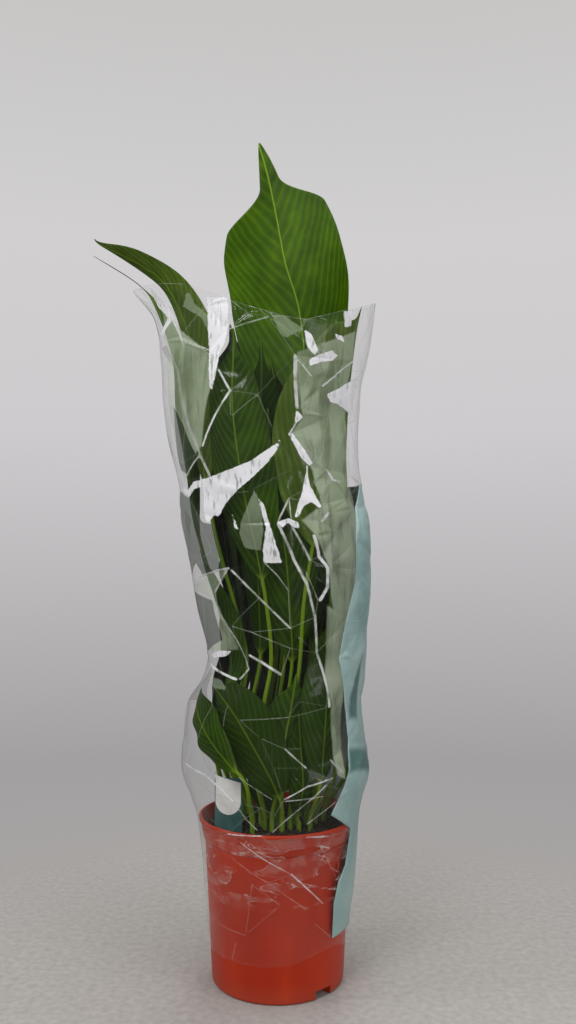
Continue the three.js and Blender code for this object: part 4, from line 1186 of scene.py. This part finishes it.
def filmMaterial():
    # clear polypropylene film, 40 microns thick: see-through with a crisp shine and faintly milky here and
    # there; white at its creases, partly as crease whitening and partly as painted highlight, with painted
    # glare where a fold would mirror a lamp, painted milky reflections in broad folds and painted dark
    # reflections where a fold would mirror the dark side of the room
    look = filmLook
    material, tree = newMaterial("clear polypropylene film")
    creaseGap, creaseSharp, lineGap, lineWhite, glare, pale, paintedDark, paintedVeil = [
        addNode(tree, "Attribute", {"attribute_name": name}).outputs["Fac"]
        for name in ("creaseGap", "creaseSharp", "lineGap", "lineWhite", "glare", "pale", "paintedDark", "paintedVeil")]
    place = addNode(tree, "TexCoord").outputs["Object"]
    height = addNode(tree, "SeparateXYZ", inputs=(place,)).outputs["Z"]
    noise = {}
    for name in ("rumple", "ragged", "stroke", "cloud", "potRidge", "smallFold"):
        size, turn, stretch, detail, distortion = look[name]
        turned = addNode(tree, "Mapping", inputs={
            "Vector": place, "Rotation": (0, turn, 0), "Scale": stretch})
        noise[name] = addNode(tree, "TexNoise", inputs={
            "Vector": turned, "Scale": 1 / (size * mm), "Detail": detail, "Distortion": distortion})
    fray = addNode(tree, "Math", timesPlus, (noise["ragged"], look["fray"], -look["fray"] / 2))

    # creases: those of the net, faint, and the drawn ones, white partly as crease whitening and partly as
    # painted highlight, with a frayed edge and broken here and there
    net = addNode(tree, "MapRange", softStep, (creaseGap, 0.2, 0.9, look["net"], 0.0))
    net = addNode(tree, "Math", times, (net, creaseSharp))
    line = addNode(tree, "Math", timesPlus, (fray, look["lineFray"], lineGap))
    line = addNode(tree, "MapRange", softStep, (line, -0.7, 0.6, 1.0, 0.0))
    broken = addNode(tree, "MapRange", softStep, (noise["rumple"], 0.36, 0.56, 0.55, 1.0))
    line = addNode(tree, "Math", times, (addNode(tree, "Math", times, (line, lineWhite)), broken))

    # round the upper pot the film shows fine slanting wrinkles, whose lighter milky crests are painted
    # highlights
    low, high = look["wrinkleFrom"] * mm, look["wrinkleTo"] * mm
    wave = addNode(tree, "Math", {"operation": "SUBTRACT"}, (noise["potRidge"], 0.5))
    wave = addNode(tree, "Math", {"operation": "ABSOLUTE"}, (wave,))
    crest = addNode(tree, "MapRange", softStep, (wave, 0.0, 0.025, 1.0, 0.0))
    flank = addNode(tree, "MapRange", softStep, (noise["potRidge"], 0.5, 0.56, 0.0, 0.3))
    wrinkleHighlight = addNode(tree, "Math", larger, (crest, flank))
    for limit in ((height, low, low + 0.03, 0.0, look["wrinkleHighlight"]), (height, high - 0.01, high, 1.0, 0.0),
                  (noise["rumple"], 0.4, 0.58, 0.25, 1.0)):
        fade = addNode(tree, "MapRange", softStep, limit)
        wrinkleHighlight = addNode(tree, "Math", times, (wrinkleHighlight, fade))

    # painted reflections: bright and paler glare where folds would mirror a lamp, dark where they would
    # mirror the dark, and milky veils, in which small soft folds run down
    glare = addNode(tree, "Math", plus, (glare, fray))
    glare = addNode(tree, "MapRange", softStep, (glare, -0.5, 0.7, 0.0, look["glare"]))
    streaks = addNode(tree, "MapRange", softStep, (noise["stroke"], 0.3, 0.46, 0.55, 1.0))
    glare = addNode(tree, "Math", times, (glare, streaks))
    pale = addNode(tree, "Math", plus, (pale, fray))
    pale = addNode(tree, "MapRange", softStep, (pale, -0.6, 1.0, 0.0, look["pale"]))
    paintedDark = addNode(tree, "MapRange", softStep, (paintedDark, -0.8, 1.5, 0.0, look["paintedDarkCover"]))
    # the milky veils are painted reflections
    paintedVeil = addNode(tree, "MapRange", softStep, (paintedVeil, -1.0, 3.0, 0.0, look["paintedVeil"]))
    folds = addNode(tree, "Math", plus, (noise["cloud"], noise["smallFold"]))
    folds = addNode(tree, "MapRange", softStep, (folds, 0.8, 1.15, 0.6, 1.15))
    paintedVeil = addNode(tree, "Math", times, (paintedVeil, folds))
    soft = addNode(tree, "MapRange", softStep, (noise["cloud"], 0.35, 0.7, *look["haze"]))
    for cover in (pale, paintedVeil, wrinkleHighlight, paintedDark):
        soft = addNode(tree, "Math", larger, (soft, cover))
    white = addNode(tree, "Math", larger, (addNode(tree, "Math", larger, (line, glare)), net))

    bump = addNode(tree, "Bump", inputs={"Height": noise["rumple"], "Distance": look["rumpleDepth"] * mm})
    facing = addNode(tree, "LayerWeight", inputs={"Blend": 0.5}).outputs["Facing"]
    edgeOn = addNode(tree, "Math", {"operation": "POWER"}, (facing, 4.0))
    shine = addNode(tree, "Math", timesPlus, (edgeOn, look["edgeShine"], look["shine"]))
    clear = addNode(tree, "BsdfTransparent", inputs={"Color": hexColor(look["clear"])})
    gloss = addNode(tree, "BsdfAnisotropic", inputs={
        "Color": hexColor(look["mirror"]), "Roughness": look["gloss"], "Normal": bump})
    skin = addNode(tree, "MixShader", inputs=(shine, clear, gloss))
    onPot = addNode(tree, "MapRange", softStep, (height, 0.235, 0.25, 1.0, 0.0))
    # the dark green is a painted dark reflection
    paintedDarkShare = addNode(tree, "Math", {"operation": "DIVIDE"}, (paintedDark, look["paintedDarkCover"]))
    color = hexColor(look["milk"])
    for cover, paint in ((onPot, "potMilk"), (paintedDarkShare, "paintedDark"), (white, "bright")):
        color = addNode(tree, "Mix", colorMix, (cover, color, hexColor(look[paint])))
    milk = addNode(tree, "BsdfPrincipled", inputs={"Base Color": color, "Roughness": 0.4})
    cover = addNode(tree, "Math", larger, (soft, white))
    addNode(tree, "OutputMaterial", inputs=(addNode(tree, "MixShader", inputs=(cover, skin, milk)),))
    return material


panelLook = {
    "plain teal printed film": [(0.3, "#8aadaa"), (0.5, "#9fbebb"), (0.72, "#b2cbc9")],
    "pale back of printed film": [(0.3, "#a9b4b3"), (0.5, "#b9c1bf"), (0.72, "#c9cecb")],
    "worn": "#c9dedd", "shade": "#2b5c54", "cloud": 71.43, "rumple": 14.29, "rumpleDepth": 1.8,
}


def panelMaterial(name):
    # printed polypropylene film: plain teal outside with a satin shine, a pale grey back inside
    look = panelLook
    material, tree = newMaterial(name)
    place = addNode(tree, "TexCoord").outputs["Object"]
    gap, sharp, shade = [addNode(tree, "Attribute", {"attribute_name": value}).outputs["Fac"]
                         for value in ("creaseGap", "creaseSharp", "foldShade")]
    cloud, rumple = [
        addNode(tree, "TexNoise", inputs={"Vector": place, "Scale": 1 / (look[size] * mm), "Detail": 3.0})
        for size in ("cloud", "rumple")]
    color = addNode(tree, "ValToRGB", inputs=(cloud,), stops=look[name])
    worn = addNode(tree, "MapRange", softStep, (gap, 0.2, 1.4, 0.5, 0.0))
    worn = addNode(tree, "Math", times, (worn, sharp))
    # the darker teal in the folds is painted shade
    shade = addNode(tree, "MapRange", softStep, (shade, -5.0, 7.0, 0.0, 0.8))
    for cover, paint in ((worn, "worn"), (shade, "shade")):
        color = addNode(tree, "Mix", colorMix, (cover, color, hexColor(look[paint])))
    bump = addNode(tree, "Bump", inputs={"Height": rumple, "Distance": look["rumpleDepth"] * mm})
    skin = addNode(tree, "BsdfPrincipled", inputs={
        "Base Color": color, "Roughness": 0.3, "Normal": bump, "IOR": 1.49})
    addNode(tree, "OutputMaterial", inputs=(skin,))
    return material


def buildFilm(sheet):
    faces, pick = merged(sheet, np.full(len(sheet["flat"]), True), True)
    flat = pick(sheet["flat"])
    points = wrapSurface(flat[:, 0], flat[:, 1], pick(sheet["lift"]))
    values = {name: pick(numbers) for name, numbers in sheet["values"].items() if name != "foldShade"}
    piece = makePiece("sleeve_sheet", points, faces.tolist(), [filmMaterial()], ["sleeve_film"],
                      values)
    print("sleeve:", len(points), "points")


def buildPanel(sheet):
    # the printed panel lies on the sheet's outside, from its edge at the right round the back
    u, z = sheet["middle"].T
    startZ, startU = np.array([(z, u) for u, z in reversed(sheet["start"])]).T
    chosen = (u > np.interp(z, startZ, startU)) & (u < sheet["panelEdge"])
    chosen &= (z < film["panelTop"]) & (z > panelLow(u, sheet["panelEdge"]))
    faces, pick = merged(sheet, chosen, False)
    flat, lift = pick(sheet["flat"]), pick(sheet["lift"]) + film["panelGap"]
    inner = wrapSurface(flat[:, 0], flat[:, 1], lift)
    outer = wrapSurface(flat[:, 0], flat[:, 1], lift + film["panelThickness"])
    edges = np.concatenate([faces[:, [0, 1]], faces[:, [1, 2]], faces[:, [2, 0]]])
    _, where, uses = np.unique(np.sort(edges, axis=1), axis=0, return_index=True, return_counts=True)
    rim = edges[where[uses == 1]]
    sides = np.concatenate([rim[:, ::-1], rim + len(flat)], axis=1)
    every = faces.tolist() + (faces[:, ::-1] + len(flat)).tolist() + sides.tolist()
    values = {name: np.tile(pick(sheet["values"][name]), 2)
              for name in ("creaseGap", "creaseSharp", "foldShade")}
    materials = [panelMaterial(name) for name in ("plain teal printed film", "pale back of printed film")]
    piece = makePiece("printed_panel", np.concatenate([outer, inner]), every, materials,
                      ["sleeve_back_panel"], values)
    backs = [0] * len(faces) + [1] * len(faces) + [0] * len(sides)
    piece.data.polygons.foreach_set("material_index", backs)


sheet = buildSheet()
buildFilm(sheet)
buildPanel(sheet)
print("sleeve and panel: folded")

# a card with a white tongue on its face, both bent the same way; thick is its thickness, and the
# plastic's grain, too fine to show, is drawn at 0.7 mm
tag = {"x": -72, "y": -63, "turn": -15, "width": 42, "thick": 0.8, "foot": 196, "neck": 232, "top": 309,
       "cornerRound": 4, "point": 6, "edgeRound": 0.15, "bend": 1.2, "bendHalf": 20, "bendStep": 4,
       "sharpAngle": 40, "cloud": 16.667, "grain": 0.6667, "grainDepth": 0.03,
       "teal": [(0.35, "#27504e"), (0.6, "#35625f")]}
tongue = {"width": 39, "bottom": 256, "top": 312, "slant": 9, "thick": 0.6, "gap": 0.35,
          "white": [(0.35, "#d9d9d5"), (0.6, "#e8e8e4")]}


def tagMaterial(name, stops, roughness):
    material, tree = newMaterial(name)
    place = addNode(tree, "TexCoord").outputs["Object"]
    cloud = addNode(tree, "TexNoise", inputs={
        "Vector": place, "Scale": 1 / (tag["cloud"] * mm), "Detail": 4.0})
    grain = addNode(tree, "TexNoise", inputs={
        "Vector": place, "Scale": 1 / (tag["grain"] * mm), "Detail": 1.0})
    color = addNode(tree, "ValToRGB", inputs=(cloud,), stops=stops)
    bump = addNode(tree, "Bump", inputs={"Height": grain, "Distance": tag["grainDepth"] * mm})
    skin = addNode(tree, "BsdfPrincipled", inputs={
        "Base Color": color, "Roughness": roughness, "Normal": bump})
    addNode(tree, "OutputMaterial", inputs=(skin,))
    return material


def plate(name, outline, front, back, material, node):
    # a thin bent plate with rounded edges between two planes of the tag's own frame
    work = bmesh.new()
    work.faces.new([work.verts.new((x, front, z)) for x, z in outline])
    for x in range(-tag["bendHalf"], tag["bendHalf"] + 1, tag["bendStep"]):
        geometry = work.verts[:] + work.edges[:] + work.faces[:]
        bmesh.ops.bisect_plane(work, geom=geometry, plane_co=(x, 0, 0), plane_no=(1, 0, 0))
    skin = bmesh.ops.extrude_face_region(work, geom=work.faces[:])
    moved = [v for v in skin["geom"] if isinstance(v, bmesh.types.BMVert)]
    bmesh.ops.translate(work, vec=(0, back - front, 0), verts=moved)
    bmesh.ops.recalc_face_normals(work, faces=work.faces)
    for vert in work.verts:
        vert.co.y += tag["bend"] * ((vert.co.x / tag["bendHalf"]) ** 2 - 0.4)
    turn = Matrix.Rotation(math.radians(tag["turn"]), 3, "Z")
    bmesh.ops.rotate(work, matrix=turn, verts=work.verts)
    bmesh.ops.translate(work, vec=(tag["x"], tag["y"], 0), verts=work.verts)
    work.verts.index_update()
    points = [tuple(v.co) for v in work.verts]
    faces = [[v.index for v in f.verts] for f in work.faces]
    work.free()
    piece = makePiece(name, points, faces, [material], [node])
    rounding = piece.modifiers.new("rounding", "BEVEL")
    rounding.width, rounding.segments, rounding.limit_method = tag["edgeRound"] * mm, 2, "ANGLE"
    piece.data.set_sharp_from_angle(angle=math.radians(tag["sharpAngle"]))


def buildTag():
    half, top, r, point = tag["width"] / 2, tag["top"], tag["cornerRound"], tag["point"] / 2
    card = [(-point, tag["foot"]), (point, tag["foot"]), (half, tag["neck"])]
    card += arc(half - r, top - r, r, 0, 90, 5) + arc(r - half, top - r, r, 90, 180, 5)
    card += [(-half, tag["neck"])]
    # screen-printed polystyrene card: flat dark teal, slightly shiny
    teal = tagMaterial("teal polystyrene card", tag["teal"], 0.45)
    plate("tag_card_plate", card, 0, tag["thick"], teal, "care_tag")
    half = tongue["width"] / 2
    shape = [(half, tongue["top"] - tongue["slant"]), (-half, tongue["top"])]
    shape += arc(0, tongue["bottom"] + half, half, 180, 360, 24)
    # white polystyrene label: clean, matt and bare
    white = tagMaterial("white polystyrene label", tongue["white"], 0.55)
    plate("tag_tongue_plate", shape, -tongue["thick"] - tongue["gap"], -tongue["gap"], white,
          "care_tag_tongue")


buildTag()
print("tag: set in the soil")

low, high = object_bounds()
{"cad": [list(cadLow), list(cadHigh)], "visual": [list(low), list(high)]}
print("size:", [round(v, 4) for v in (*low, *high)])
